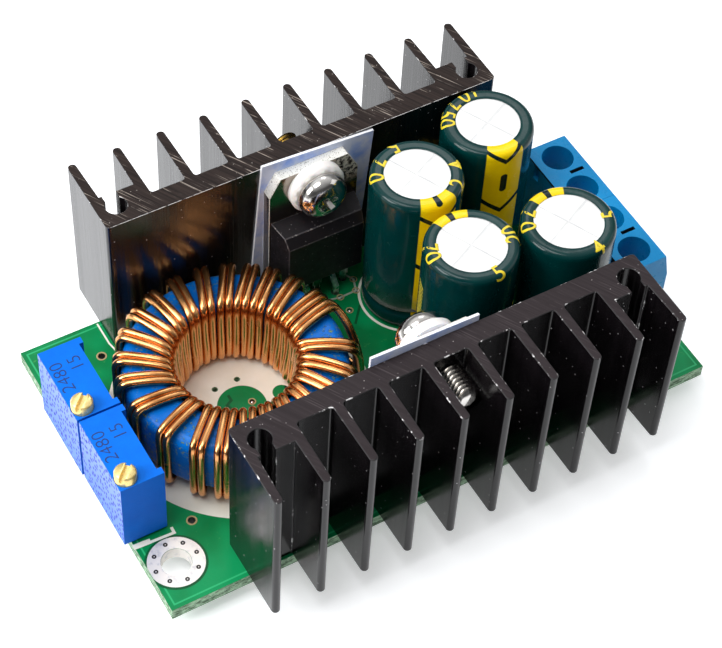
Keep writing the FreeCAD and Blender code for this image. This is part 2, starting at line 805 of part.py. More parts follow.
def amplifier_case():
    near = -board_thickness - amplifier_stand_off
    far = near - amplifier_thickness
    case = box(amplifier_x - amplifier_length / 2, amplifier_x + amplifier_length / 2,
               amplifier_y - amplifier_width / 2, amplifier_y + amplifier_width / 2, far, near)
    lower = [edge for edge in case.Edges if edge.BoundBox.ZMax < near - amplifier_thickness / 2]
    return case.makeChamfer(amplifier_chamfer, lower)


def amplifier_leads():
    leads = []
    foot = -board_thickness - amplifier_lead_thickness
    knee = -board_thickness - amplifier_thickness / 2
    for side in (-1, 1):
        start = amplifier_y + side * amplifier_width / 2
        shoulder = start + side * amplifier_lead_reach * 0.3
        end = start + side * amplifier_lead_reach
        thick = amplifier_lead_thickness
        outline = [(start, knee), (shoulder + side * thick, knee), (shoulder + side * thick, foot),
                   (end, foot), (end, -board_thickness), (shoulder, -board_thickness),
                   (shoulder, knee + thick), (start, knee + thick), (start, knee)]
        for number in range(4):
            x = amplifier_x + (number - 1.5) * amplifier_lead_pitch - amplifier_lead_width / 2
            face = Part.Face(Part.makePolygon([Vector(x, y, z) for y, z in outline]))
            leads.append(face.extrude(Vector(amplifier_lead_width, 0, 0)))
    return Part.makeCompound(leads)


def under_board(x, y, length, width, thickness):
    return box(x - length / 2, x + length / 2, y - width / 2, y + width / 2, -board_thickness - thickness,
               -board_thickness)


def chip_parts():
    chips = []
    for (x, y), count in zip(chip_row_places, chip_row_counts):
        for number in range(count):
            chips.append(under_board(x + number * chip_spacing, y, chip_width, chip_length, chip_thickness))
    return Part.makeCompound(chips)


# Board

def package_lead_places(screw_x, face_y, facing, pitch, count, step):
    places = []
    for place in range(-(count // 2), count // 2 + 1):
        depth = pad_thickness + package_lead_depth + (step if place % 2 else 0)
        places.append((screw_x + place * pitch, face_y + facing * depth))
    return places


def board_holes():
    """X, Y and diameter of every hole."""
    holes = [(mount_inset_x, mount_inset_y, mount_hole_d),
             (board_length - mount_inset_x, board_width - mount_inset_y, mount_hole_d)]
    holes += [(x, y, sink_screw_d + screw_clearance) for x, y in sink_screw_places()]
    round_lead = capacitor_lead_d + 2 * lead_hole_clearance
    half = capacitor_lead_pitch / 2
    holes += [(x, y + side * half, round_lead) for x, y in capacitor_places for side in (-1, 1)]
    pin_hole = terminal_pin_width * sqrt(2) + lead_hole_clearance
    holes += [(terminal_axis_x, way_y(way), pin_hole) for way in range(terminal_blocks * terminal_ways)]
    flat_lead = sqrt(package_lead_width ** 2 + package_lead_thickness ** 2) + lead_hole_clearance
    leads = package_lead_places(rear_package_x, rear_sink_face, -1, *regulator_leads)
    leads += package_lead_places(front_package_x, front_sink_face, 1, *rectifier_leads)
    holes += [(x, y, flat_lead) for x, y in leads]
    trimmer_hole = trimmer_pin_d + 2 * lead_hole_clearance
    for number in (0, 1):
        holes += [(x, y, trimmer_hole) for x, y in trimmer_pin_places(number)]
    end_angle = coil_start_angle + (coil_turns - 1) * 360.0 / coil_turns + coil_top_advance
    start = coil_point(coil_outer_radius, coil_start_angle, 0, 0)
    end = coil_point(coil_inner_radius, end_angle, 0, 0)
    holes.append((start.x, start.y, wire_pair_outer + wire_d + lead_hole_clearance))
    holes.append((end.x, end.y, wire_pair_inner + wire_d + lead_hole_clearance))
    return holes + small_holes


def circuit_board():
    board = box(0, board_length, 0, board_width, -board_thickness, 0)
    return board.cut([upright(x, y, -board_thickness - overshoot, overshoot, diameter)
                      for x, y, diameter in board_holes()])


def main():
    save("circuit_board", circuit_board())
    save("front_heatsink", heatsink(front_sink_left, front_sink_face, -1, front_package_x))
    save("rear_heatsink", heatsink(rear_sink_left, rear_sink_face, 1, rear_package_x))
    save("heatsink_screws", sink_screws())
    save("front_thermal_pad", thermal_pad(front_pad_width, front_pad_shift, front_pad_rise, front_pad_tilt,
                                          front_sink_face, 1, front_package_x))
    save("rear_thermal_pad", thermal_pad(rear_pad_width, rear_pad_shift, rear_pad_rise, rear_pad_tilt,
                                         rear_sink_face, -1, rear_package_x))

    packages = (("rectifier", front_package_x, front_sink_face, 1, rectifier_leads),
                ("regulator", rear_package_x, rear_sink_face, -1, regulator_leads))
    for name, screw_x, face_y, facing, leads in packages:
        save(name + "_case", on_sink(package_case(), screw_x, face_y, facing))
        save(name + "_tab", on_sink(package_tab(), screw_x, face_y, facing))
        save(name + "_side_leads", on_sink(side_leads(*leads), screw_x, face_y, facing))
        save(name + "_bush", on_sink(insulating_bush(), screw_x, face_y, facing))
        save(name + "_screw", on_sink(tab_screw(), screw_x, face_y, facing))

    save("inductor_core", core())
    save("inductor_wire_a", bent_wire(wire_route(-1), wire_d, wire_sides))
    save("inductor_wire_b", bent_wire(wire_route(1), wire_d, wire_sides))

    can = can_outline(0)
    sleeve = capacitor_sleeve()
    for number, (x, y) in enumerate(capacitor_places, start=1):
        save("capacitor_%d_can" % number, can.translated(Vector(x, y, 0)))
        save("capacitor_%d_sleeve" % number, sleeve.translated(Vector(x, y, 0)))
        save("capacitor_%d_leads" % number, capacitor_leads(x, y))

    for block in range(terminal_blocks):
        save("terminal_%d_housing" % (block + 1), terminal_housing(block))
    for way in range(terminal_blocks * terminal_ways):
        save("clamp_%d_cage" % (way + 1), clamp_cage(way))
        save("clamp_%d_plate" % (way + 1), clamp_plate(way))
        save("clamp_%d_screw" % (way + 1), clamp_screw(way))

    for number in (0, 1):
        save("trimmer_%d_housing" % (number + 1), trimmer_housing(number))
        save("trimmer_%d_screw" % (number + 1), trimmer_screw(number))
        save("trimmer_%d_pins" % (number + 1), trimmer_pins(number))

    save("amplifier_case", amplifier_case())
    save("amplifier_leads", amplifier_leads())
    save("shunt_resistor", under_board(shunt_x, shunt_y, shunt_length, shunt_width, shunt_thickness))
    save("chip_components", chip_parts())


main()
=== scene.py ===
import json
import random
from math import atan2, cos, floor, hypot, pi, radians, sin

import bpy
from mathutils import Matrix, Vector


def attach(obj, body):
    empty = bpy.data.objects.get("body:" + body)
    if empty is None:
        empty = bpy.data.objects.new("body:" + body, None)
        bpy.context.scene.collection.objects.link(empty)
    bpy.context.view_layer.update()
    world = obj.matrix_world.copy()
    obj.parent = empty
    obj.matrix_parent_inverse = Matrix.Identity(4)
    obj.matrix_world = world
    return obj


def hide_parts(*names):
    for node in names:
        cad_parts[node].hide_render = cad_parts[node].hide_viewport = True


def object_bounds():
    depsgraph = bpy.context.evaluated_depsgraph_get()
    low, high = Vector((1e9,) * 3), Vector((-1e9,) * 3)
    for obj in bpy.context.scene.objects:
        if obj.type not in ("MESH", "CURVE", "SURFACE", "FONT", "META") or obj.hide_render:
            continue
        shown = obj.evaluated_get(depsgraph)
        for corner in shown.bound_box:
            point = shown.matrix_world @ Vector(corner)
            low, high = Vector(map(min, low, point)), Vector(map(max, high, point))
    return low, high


# A step-down converter module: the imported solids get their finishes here, and the winding, sleeves,
# threads, printing and solder are modelled over them.

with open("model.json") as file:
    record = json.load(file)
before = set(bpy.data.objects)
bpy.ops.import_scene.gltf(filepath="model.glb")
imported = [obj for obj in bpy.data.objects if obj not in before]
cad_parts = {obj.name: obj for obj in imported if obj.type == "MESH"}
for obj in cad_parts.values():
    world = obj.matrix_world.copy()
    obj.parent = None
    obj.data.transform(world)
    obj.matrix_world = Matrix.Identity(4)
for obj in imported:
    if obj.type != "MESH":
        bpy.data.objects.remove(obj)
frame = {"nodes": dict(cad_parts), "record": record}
cad_low, cad_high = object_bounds()

nodes = frame["nodes"]
body_of = {node: body for body, members in frame["record"]["behaviour"]["bodies"].items() for node in members}

# The board's own places are in millimetres from its front left corner and its top face
mm = 0.001
board_thickness = 1.6
board_length = 65.3
board_width = 36.7
corner = Vector((-2.95, -4.9, board_thickness))
front_face = 4.6
rear_face = 32.5
mount_holes = ((2.95, 4.9), (62.35, 31.8))
mount_hole_radius = 1.6
small_vias = ((19.2, 19.1), (37.3, 28.8), (36.75, 27.25), (34.7, 27.2), (34.7, 25.1))
large_vias = ((7.6, 32.2), (6.6, 8.64))
trimmer_corners = ((-0.85, 9.0), (-0.95, 18.8))
terminal_pitch = 5.08
pin_pitch = 2.54
# Each capacitor's X and Y, its stripe's direction, the radius of its sleeve's opening, how far the stripe's marks
# are shifted up, and its printed figures with their directions
capacitors = (
    (41.5, 24.2, -91, 3.55, 0.0, (("5", 94), ("7", 130), ("0", 160), ("4", -11), ("2", -46))),
    (52.1, 27.1, -98, 3.5, -2.0, (("10", 86), ("7", 118), ("50", 147))),
    (41.5, 13.2, 90, 3.7, 0.0, (("70", 166), ("20", -10), ("5", -84))),
    (52.1, 11.2, 90, 3.7, 0.0, (("7", 137), ("0", 162), ("4", -80), ("5", -16))),
)


def at(x, y, z):
    """A place on the board as a point of the frame."""
    return (corner + Vector((x, y, z))) * mm


def tone(red, green, blue):
    """A colour as it looks, 0 to 255, made linear."""
    return tuple((channel / 255) ** 2.2 for channel in (red, green, blue))


# Selecting and editing

def deselect():
    if bpy.context.mode != "OBJECT":
        bpy.ops.object.mode_set(mode="OBJECT")
    bpy.ops.object.select_all(action="DESELECT")


def only(piece):
    deselect()
    piece.select_set(True)
    bpy.context.view_layer.objects.active = piece


def edit(piece, action="SELECT"):
    only(piece)
    bpy.ops.object.mode_set(mode="EDIT")
    bpy.ops.mesh.select_all(action=action)


def done():
    bpy.ops.object.mode_set(mode="OBJECT")


def settle(piece):
    """Put the piece's place, turn and size into its mesh."""
    only(piece)
    bpy.ops.object.transform_apply(location=True, rotation=True, scale=True)
    return piece


def apply_all(piece):
    only(piece)
    for modifier in list(piece.modifiers):
        bpy.ops.object.modifier_apply(modifier=modifier.name)


def faces_out(piece):
    edit(piece)
    bpy.ops.mesh.remove_doubles(threshold=0.0005 * mm)
    bpy.ops.mesh.normals_make_consistent(inside=False)
    done()


def smooth(piece, angle=35):
    only(piece)
    bpy.ops.object.shade_smooth_by_angle(angle=radians(angle))


def joined(pieces, name):
    deselect()
    for piece in pieces:
        piece.select_set(True)
    bpy.context.view_layer.objects.active = pieces[0]
    if len(pieces) > 1:
        bpy.ops.object.join()
    piece = bpy.context.view_layer.objects.active
    piece.name = name
    return piece


def soften(piece, width, edge=45, segments=2, finish=0):
    """Round the edges that are sharper than edge degrees, and shade the flats as flat."""
    bevel = piece.modifiers.new("edges", "BEVEL")
    bevel.width = width * mm
    bevel.segments = segments
    bevel.limit_method = "ANGLE"
    bevel.angle_limit = radians(edge)
    bevel.material = finish
    bevel.use_clamp_overlap = True
    apply_all(piece)
    only(piece)
    bpy.ops.object.shade_smooth()
    weigh = piece.modifiers.new("flats", "WEIGHTED_NORMAL")
    weigh.keep_sharp = True
    apply_all(piece)


def paint(piece, finish, chosen):
    """Give the faces that chosen picks by centre and normal the piece's finish of that number."""
    for face in piece.data.polygons:
        if chosen(face.center / mm - corner, face.normal):
            face.material_index = finish


def stands_for(piece, *replaced, body=None):
    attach(piece, body or body_of[replaced[0]])
    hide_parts(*replaced)
    return piece


def added(piece, body="module"):
    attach(piece, body)
    return piece


def dressed(node, *finishes, width=0.0, edge=45, segments=2, edge_finish=0):
    """A cleaned copy of a CAD node with softened edges and its own finishes."""
    piece = bpy.data.objects.new(node + "_finished", nodes[node].data.copy())
    bpy.context.collection.objects.link(piece)
    piece.data.materials.clear()
    for finish in finishes:
        piece.data.materials.append(finish)
    edit(piece)
    bpy.ops.mesh.customdata_custom_splitnormals_clear()
    bpy.ops.mesh.remove_doubles(threshold=0.001 * mm)
    bpy.ops.mesh.dissolve_limited(angle_limit=radians(0.5))
    done()
    if width:
        soften(piece, width, edge, segments, edge_finish)
    else:
        smooth(piece, 35)
    return stands_for(piece, node)


# Shapes made by hand

def turned(name, profile, sides=64, finish=None):
    """A round piece on the Z axis: a ring is extruded and resized to each (radius, height) in turn."""
    deselect()
    radius, height = profile[0]
    bpy.ops.mesh.primitive_circle_add(vertices=sides, radius=radius * mm, location=(0, 0, 0))
    piece = bpy.context.object
    piece.name = name
    bpy.ops.object.mode_set(mode="EDIT")
    bpy.ops.mesh.select_all(action="SELECT")
    bpy.ops.transform.translate(value=(0, 0, height * mm))
    for next_radius, next_height in profile[1:]:
        bpy.ops.mesh.extrude_edges_move(TRANSFORM_OT_translate={"value": (0, 0, (next_height - height) * mm)})
        scale = next_radius / radius
        bpy.ops.transform.resize(value=(scale, scale, 1), center_override=(0, 0, next_height * mm))
        radius, height = next_radius, next_height
    done()
    if finish:
        piece.data.materials.append(finish)
    return piece


def capped(piece):
    """Close the piece's open rims with flat faces and turn all faces outwards."""
    edit(piece, "DESELECT")
    bpy.ops.mesh.select_mode(type="EDGE")
    bpy.ops.mesh.select_non_manifold()
    bpy.ops.mesh.edge_face_add()
    bpy.ops.mesh.select_all(action="SELECT")
    bpy.ops.mesh.normals_make_consistent(inside=False)
    bpy.ops.mesh.select_mode(type="VERT")
    done()
    return piece


def block(name, low, high, finish=None):
    """A box from one corner to the other, given as places on the board."""
    deselect()
    low, high = at(*low), at(*high)
    bpy.ops.mesh.primitive_cube_add(size=1, location=(low + high) / 2)
    piece = bpy.context.object
    piece.name = name
    piece.scale = high - low
    settle(piece)
    if finish:
        piece.data.materials.append(finish)
    return piece


def cut_away(piece, tool):
    only(piece)
    carve = piece.modifiers.new("carve", "BOOLEAN")
    carve.operation = "DIFFERENCE"
    carve.object = tool
    carve.solver = "EXACT"
    apply_all(piece)
    bpy.data.objects.remove(tool)
    return piece


def lettering(words, size, depth, finish, boldness=0.0):
    """Raised characters lying in the XY plane, centred on the origin, as a closed mesh."""
    deselect()
    bpy.ops.object.text_add(location=(0, 0, 0))
    letters = bpy.context.object
    letters.data.body = words
    letters.data.align_x = "CENTER"
    letters.data.align_y = "CENTER"
    letters.data.size = size * mm
    letters.data.extrude = depth * mm / 2
    letters.data.offset = boldness * mm
    letters.data.resolution_u = 4
    bpy.ops.object.convert(target="MESH")
    piece = bpy.context.object
    settle(piece)
    faces_out(piece)
    piece.data.materials.clear()
    piece.data.materials.append(finish)
    return piece


# Finishes

class Finish:
    """A material whose colour, roughness and relief are worked out from the place on the piece."""

    def __init__(self, name, roughness, **sockets):
        self.material = bpy.data.materials.new(name)
        self.material.use_nodes = True
        self.tree = self.material.node_tree
        self.surface = self.tree.nodes["Principled BSDF"]
        self.surface.inputs["Roughness"].default_value = roughness
        for socket, value in sockets.items():
            self.surface.inputs[socket.replace("_", " ")].default_value = value
        self.place = self.tree.nodes.new("ShaderNodeTexCoord").outputs["Object"]
        self.relief = None

    def node(self, kind, inputs=(), **settings):
        node = self.tree.nodes.new(kind)
        for key, value in settings.items():
            setattr(node, key, value)
        for key, value in dict(inputs).items():
            if isinstance(value, bpy.types.NodeSocket):
                self.tree.links.new(value, node.inputs[key])
            else:
                node.inputs[key].default_value = value
        return node

    def stretched(self, x, y, z, source=None):
        """The place with each axis scaled, so that a pattern is drawn out along the small ones."""
        return self.node("ShaderNodeMapping", {"Vector": source or self.place, "Scale": (x, y, z)}).outputs["Vector"]

    def noise(self, size, detail=3, source=None, roughness=0.55):
        """Cloudy values between 0 and 1 with features of about size millimetres."""
        return self.node("ShaderNodeTexNoise", {"Vector": source or self.place, "Scale": 1 / (size * mm),
                                                "Detail": detail, "Roughness": roughness}).outputs["Fac"]

    def cells(self, size, source=None, scatter=1.0, flat=False):
        """The distance to the nearest of points strewn about size millimetres apart, in three ways or in two."""
        return self.node("ShaderNodeTexVoronoi", {"Vector": source or self.place, "Scale": 1 / (size * mm),
                                                  "Randomness": scatter},
                         voronoi_dimensions="2D" if flat else "3D").outputs["Distance"]

    def along(self, axis, source=None):
        return self.node("ShaderNodeSeparateXYZ", {"Vector": source or self.place}).outputs[axis]

    def laid_out(self, name):
        """Both measures of the piece's UV map of that name."""
        uv = self.node("ShaderNodeUVMap", uv_map=name).outputs["UV"]
        return self.along("X", uv), self.along("Y", uv)

    def between(self, value, low, high, start=0.0, end=1.0):
        """The value's way from low to high, told as start to end and held there."""
        return self.node("ShaderNodeMapRange", {"Value": value, "From Min": low, "From Max": high,
                                                "To Min": start, "To Max": end}).outputs["Result"]

    def math(self, operation, *values):
        return self.node("ShaderNodeMath", dict(enumerate(values)), operation=operation).outputs["Value"]

    def away_from(self, value, middle):
        return self.math("ABSOLUTE", self.math("SUBTRACT", value, middle))

    def blend(self, share, first, second):
        """The first colour where share is 0 and the second where it is 1."""
        inputs = {0: share}
        for index, colour in ((6, first), (7, second)):
            inputs[index] = colour if isinstance(colour, bpy.types.NodeSocket) else (*colour, 1)
        return self.node("ShaderNodeMix", inputs, data_type="RGBA").outputs[2]

    def use(self, socket, value):
        self.tree.links.new(value, self.surface.inputs[socket])

    def colour(self, share, first, second):
        self.use("Base Color", self.blend(share, first, second))

    def gloss(self, size, start, end, detail=3, low=0.3, high=0.7):
        """Roughness from start to end, over clouds of about size millimetres."""
        self.use("Roughness", self.between(self.noise(size, detail), low, high, start, end))

    def raise_by(self, height, depth):
        """Relief of depth millimetres where height is 1, on top of any relief already there."""
        inputs = {"Height": height, "Distance": depth * mm, "Strength": 1.0}
        if self.relief:
            inputs["Normal"] = self.relief
        self.relief = self.node("ShaderNodeBump", inputs).outputs["Normal"]
        self.tree.links.new(self.relief, self.surface.inputs["Normal"])


def clouded(name, roughness, size, detail, first, second, reach=(), grit=0.55, gloss=(), relief=(), **sockets):
    """A finish in two colours that drift into each other in clouds of about size millimetres.

    reach is the part of the clouds over which they change, where it isn't all of it, and grit how ragged the
    clouds are. gloss is what gloss() takes, and relief the size and detail of the unevenness, and its depth.
    """
    finish = Finish(name, roughness, **sockets)
    clouds = finish.noise(size, detail, roughness=grit)
    finish.colour(finish.between(clouds, *reach) if reach else clouds, first, second)
    if gloss:
        finish.gloss(*gloss)
    if relief:
        finish.raise_by(finish.noise(*relief[:2]), relief[2])
    return finish.material


def solder_mask():
    """Green lacquer over copper, with a paler line along the gap round the board's edge."""
    finish = Finish("green_solder_mask", 0.36, Specular_IOR_Level=0.2)
    patches = finish.between(finish.noise(7.0, 2), 0.4, 0.62)
    ground = finish.blend(patches, tone(0, 118, 66), tone(2, 142, 84))
    low, high = at(0, 0, 0), at(board_length, board_width, 0)
    from_edge = 1.0
    for axis, near, far in (("X", low.x, high.x), ("Y", low.y, high.y)):
        along = finish.along(axis)
        for distance in (finish.math("SUBTRACT", along, near), finish.math("SUBTRACT", far, along)):
            from_edge = finish.math("MINIMUM", from_edge, distance)
    edge_line = finish.between(finish.away_from(from_edge, 0.55 * mm), 0.12 * mm, 0.06 * mm)
    marks = finish.between(finish.noise(1.1, 6, roughness=0.72), 0.63, 0.7, 0.0, 0.5)
    marked = finish.blend(marks, ground, tone(84, 160, 84))
    finish.colour(edge_line, marked, tone(48, 172, 110))
    finish.raise_by(finish.noise(0.35, 2), 0.012)
    finish.gloss(1.2, 0.28, 0.44)
    return finish.material


def laminate_edge():
    """The board's sawn side: glass layers, pale and dark."""
    finish = Finish("sawn_laminate", 0.8, Specular_IOR_Level=0.2)
    layers = finish.noise(0.3, 5, finish.stretched(0.4, 0.4, 1), 0.7)
    finish.colour(finish.between(layers, 0.4, 0.6), tone(84, 108, 84), tone(186, 220, 186))
    finish.raise_by(layers, 0.05)
    return finish.material


def package_metal():
    """The tab's plating: mirror-like on its faces and torn rough at its sheared upper right corner."""
    finish = Finish("plated_package_tab", 0.2, Metallic=1.0)
    right = finish.between(finish.along("X"), at(34.9, 0, 0).x, at(35.9, 0, 0).x)
    upper = finish.between(finish.along("Z"), at(0, 0, 14.2).z, at(0, 0, 15.6).z)
    torn = finish.math("MULTIPLY", right, upper)
    pits = finish.noise(0.5, 4, roughness=0.7)
    grains = finish.blend(finish.between(pits, 0.45, 0.56), tone(236, 230, 214), tone(40, 32, 24))
    brushed = finish.blend(finish.noise(0.3, 3), tone(164, 156, 146), tone(126, 118, 110))
    finish.colour(torn, brushed, grains)
    finish.use("Metallic", finish.between(torn, 0.0, 1.0, 1.0, 0.35))
    finish.use("Roughness", finish.between(torn, 0.0, 1.0, 0.18, 0.5))
    finish.raise_by(finish.math("MULTIPLY", torn, pits), 0.6)
    finish.raise_by(finish.noise(0.18, 3), 0.008)
    return finish.material


def sheared_metal():
    """The tab's sheared rim: bright and grainy."""
    finish = Finish("sheared_tab_rim", 0.5, Metallic=0.45)
    grain = finish.noise(0.16, 4, roughness=0.7)
    finish.colour(finish.between(grain, 0.57, 0.63), tone(240, 238, 230), tone(108, 94, 78))
    finish.raise_by(grain, 0.08)
    return finish.material


def solder():
    finish = Finish("solder", 0.2, Base_Color=(*tone(196, 198, 204), 1), Metallic=1.0)
    finish.gloss(0.4, 0.12, 0.34)
    finish.raise_by(finish.noise(0.5, 2), 0.02)
    return finish.material


def anodised(name, shine, depth):
    """Black anodised extrusion: faint die lines run along it, with a few bright specks."""
    finish = Finish(name, 0.22, Specular_IOR_Level=shine)
    lines = finish.noise(0.26, 4, finish.stretched(1, 1, 0.01), 0.65)
    broad = finish.noise(1.6, 3, finish.stretched(1, 1, 0.02))
    ground = finish.blend(finish.between(lines, 0.35, 0.7), tone(14, 12, 14), tone(30, 27, 29))
    finish.colour(finish.between(finish.cells(1.1), 0.075, 0.045), ground, tone(196, 194, 196))
    finish.use("Roughness", finish.between(broad, 0.3, 0.7, 0.13, 0.26))
    finish.raise_by(lines, depth)
    return finish.material


def sawn_end(name, dark, pale, scratch, speck):
    """An extrusion's cut end: fine parallel saw marks across it under the same black."""
    finish = Finish(name, 0.6, Specular_IOR_Level=0.15)
    along_the_saw = finish.node("ShaderNodeMapping", {"Vector": finish.place,
                                                      "Rotation": (0, 0, radians(60))}).outputs["Vector"]
    drawn = finish.stretched(0.022, 1, 1, along_the_saw)
    marks = finish.noise(0.24, 3, drawn)
    thin = finish.between(finish.noise(0.15, 2, drawn, 0.4), 0.61, 0.68)
    broken = finish.between(finish.noise(2.6, 3), 0.42, 0.52, 0.0, 0.85)
    shade = finish.blend(finish.between(marks, 0.35, 0.7), dark, pale)
    scratched = finish.blend(finish.math("MULTIPLY", thin, broken), shade, scratch)
    finish.colour(finish.between(finish.cells(0.75), 0.08, 0.045), scratched, speck)
    finish.use("Roughness", finish.between(marks, 0.3, 0.7, 0.5, 0.66))
    finish.raise_by(marks, 0.02)
    return finish.material


def worn_edge():
    """Black rubbed through to bright aluminium here and there along the edges."""
    finish = Finish("rubbed_edge", 0.45, Metallic=0.2)
    scuffed = finish.between(finish.noise(1.3, 6, finish.stretched(1, 1, 0.5), 0.74), 0.57, 0.61)
    beside = finish.away_from(finish.along("Y"), at(0, rear_face, 0).y)
    burr = finish.math("MULTIPLY", finish.between(beside, 0.3 * mm, 0.2 * mm),
                       finish.between(finish.noise(0.7, 4, roughness=0.65), 0.38, 0.48))
    finish.colour(finish.math("MAXIMUM", scuffed, burr), tone(36, 33, 35), tone(238, 236, 236))
    finish.raise_by(finish.noise(0.2, 3), 0.03)
    return finish.material


def moulded_black():
    """The packages' black moulding, with small pale specks of filler."""
    finish = Finish("moulded_black_epoxy", 0.45, Specular_IOR_Level=0.25)
    ground = finish.blend(finish.noise(1.6, 4), tone(23, 21, 24), tone(37, 34, 37))
    finish.colour(finish.between(finish.cells(0.55), 0.12, 0.07), ground, tone(128, 122, 124))
    finish.gloss(0.5, 0.34, 0.55)
    finish.raise_by(finish.noise(0.12, 2), 0.02)
    return finish.material


def silicone_sheet():
    """The pads' pale blue rubber, over a fine weave."""
    finish = Finish("silicone_sheet", 0.6, Specular_IOR_Level=0.2)
    weave = finish.math("MULTIPLY", finish.noise(0.22, 2, finish.stretched(1, 1, 0.25)),
                        finish.noise(0.22, 2, finish.stretched(0.25, 1, 1)))
    finish.colour(finish.between(finish.noise(2.4, 4), 0.45, 0.75), tone(222, 230, 255), tone(140, 176, 252))
    finish.raise_by(weave, 0.03)
    return finish.material


def coated_core():
    """Blue powder coating, glossy and slightly lumpy, with pale varnish crumbs caught on it."""
    finish = Finish("blue_core_coating", 0.34, Specular_IOR_Level=0.2)
    patches = finish.between(finish.noise(2.6, 2), 0.44, 0.54)
    crumbs = finish.math("MULTIPLY", patches, finish.between(finish.noise(0.4, 6, roughness=0.75), 0.56, 0.6))
    ground = finish.blend(finish.noise(3.0, 3), tone(0, 88, 178), tone(0, 116, 208))
    finish.colour(crumbs, ground, tone(134, 160, 104))
    finish.use("Roughness", finish.between(crumbs, 0.0, 1.0, 0.32, 0.5))
    finish.raise_by(crumbs, 0.06)
    finish.raise_by(finish.noise(0.7, 2), 0.05)
    return finish.material


def can_top():
    """Drawn aluminium disc with the shallow pressed lines of its vent."""
    finish = Finish("satin_can_top", 0.5, Metallic=0.25)
    across, along = finish.laid_out("disc")
    score = finish.math("MAXIMUM", finish.between(finish.math("ABSOLUTE", across), 0.16, 0.06),
                        finish.between(finish.math("ABSOLUTE", along), 0.16, 0.06))
    brushed = finish.blend(finish.noise(1.4, 5), tone(242, 242, 241), tone(232, 232, 231))
    faint = finish.between(finish.noise(2.2, 2), 0.35, 0.6, 0.05, 0.4)
    finish.colour(finish.math("MULTIPLY", score, faint), brushed, tone(178, 178, 182))
    finish.gloss(0.9, 0.4, 0.58)
    finish.raise_by(finish.math("MULTIPLY", score, -1.0), 0.03)
    return finish.material


def sleeve_film():
    """Dark green shrink film with the yellow polarity stripe and its dashes, laid out round the can."""
    finish = Finish("green_shrink_film", 0.24, Specular_IOR_Level=0.15, Coat_Weight=0.25,
                    Coat_Roughness=0.04)
    around, up = finish.laid_out("around")
    around = finish.math("ABSOLUTE", around)
    stripe = finish.between(around, 2.26, 2.16)
    repeat = 7.7

    def from_mark(middle):
        """Distance up or down to the nearest of the marks that repeat from middle."""
        steps = finish.math("DIVIDE", finish.math("SUBTRACT", up, middle - repeat / 2), repeat)
        return finish.math("SUBTRACT", finish.math("MULTIPLY", finish.math("FRACT", steps), repeat), repeat / 2)

    reach = finish.math("MAXIMUM", finish.math("SUBTRACT", finish.math("ABSOLUTE", from_mark(21.3)), 0.95), 0.0)
    distance = finish.math("SQRT", finish.math("ADD", finish.math("POWER", around, 2.0),
                                               finish.math("POWER", reach, 2.0)))
    dash = finish.between(distance, 0.44, 0.36)
    arm = finish.math("ABSOLUTE", finish.math("SUBTRACT", from_mark(16.9), finish.math("MULTIPLY", around, 0.8)))
    arrow = finish.between(arm, 0.38, 0.3)
    ground = finish.blend(finish.noise(2.6, 3), tone(0, 42, 44), tone(3, 60, 58))
    yellow = finish.blend(finish.noise(2.0, 3), tone(250, 218, 20), tone(230, 192, 16))
    finish.colour(stripe, ground, finish.blend(finish.math("MAXIMUM", dash, arrow), yellow, tone(2, 34, 36)))
    finish.gloss(1.5, 0.16, 0.3, 4, 0.35)
    finish.raise_by(finish.noise(1.1, 4, finish.stretched(1, 1, 0.35)), 0.05)
    return finish.material


def side_with_painted_sheen():
    """The trimmers' left side: blue painted pale as sheen from the light on that side, and painted darker towards
    the bottom as shade, with rows of short blue dimples.
    """
    finish = Finish("blue_side_with_painted_sheen", 0.55, Specular_IOR_Level=0.3)
    flat_place = finish.node("ShaderNodeCombineXYZ", {"X": finish.along("Y"), "Y": finish.along("Z")}).outputs[0]
    rows = finish.cells(1.0, finish.stretched(1.7, 1.15, 1, flat_place), 0.8, flat=True)
    kept = finish.between(finish.noise(1.6, 2), 0.32, 0.38)
    dimples = finish.math("MULTIPLY", finish.between(rows, 0.31, 0.22), kept)
    # Painted sheen and shade: the side's blue is pale, and darker towards the bottom
    height = finish.between(finish.along("Z"), at(0, 0, 0.5).z, at(0, 0, 9.5).z)
    sheen_and_shade = finish.blend(finish.math("ADD", finish.math("MULTIPLY", height, 0.75),
                                     finish.math("MULTIPLY", finish.noise(0.8, 3), 0.25)),
                         tone(84, 130, 226), tone(136, 162, 240))
    finish.colour(dimples, sheen_and_shade, tone(6, 40, 178))
    finish.raise_by(finish.math("MULTIPLY", dimples, -1.0), 0.05)
    return finish.material


# Board
mask = solder_mask()
edge_of_board = laminate_edge()
gap = clouded("dark_green_gap", 0.4, 0.6, 3, tone(0, 74, 42), tone(0, 94, 54), Specular_IOR_Level=0.25)
# Painted shade: a dark colour for the via holes' walls and the stitching vias, standing for the shade inside the
# holes
via_hole_shade = clouded("painted_via_hole_shade", 0.4, 0.2, 2, tone(14, 13, 14), tone(48, 42, 36))
bare_track = clouded("pale_bare_track", 0.45, 0.5, 3, tone(206, 214, 202), tone(150, 168, 146), Metallic=0.3)
tan_ring = clouded("tan_via_ring", 0.4, 0.3, 2, tone(206, 184, 140), tone(160, 134, 92), Metallic=0.3)
pad_tin = clouded("flat_pad_tinning", 0.34, 0.8, 4, tone(240, 234, 228), tone(206, 204, 206), (0.52, 0.7),
                  relief=(1.2, 2, 0.006), Metallic=0.45)
board_ink = clouded("white_board_ink", 0.55, 2.5, 4, tone(224, 220, 202), tone(244, 242, 234),
                    relief=(0.25, 3, 0.01))
tin = clouded("tinned_copper", 0.3, 0.5, 5, tone(226, 227, 231), tone(150, 152, 168), (0.4, 0.7), 0.65,
              (0.8, 0.2, 0.46), (0.9, 2, 0.03), Metallic=1.0)
joint_metal = solder()

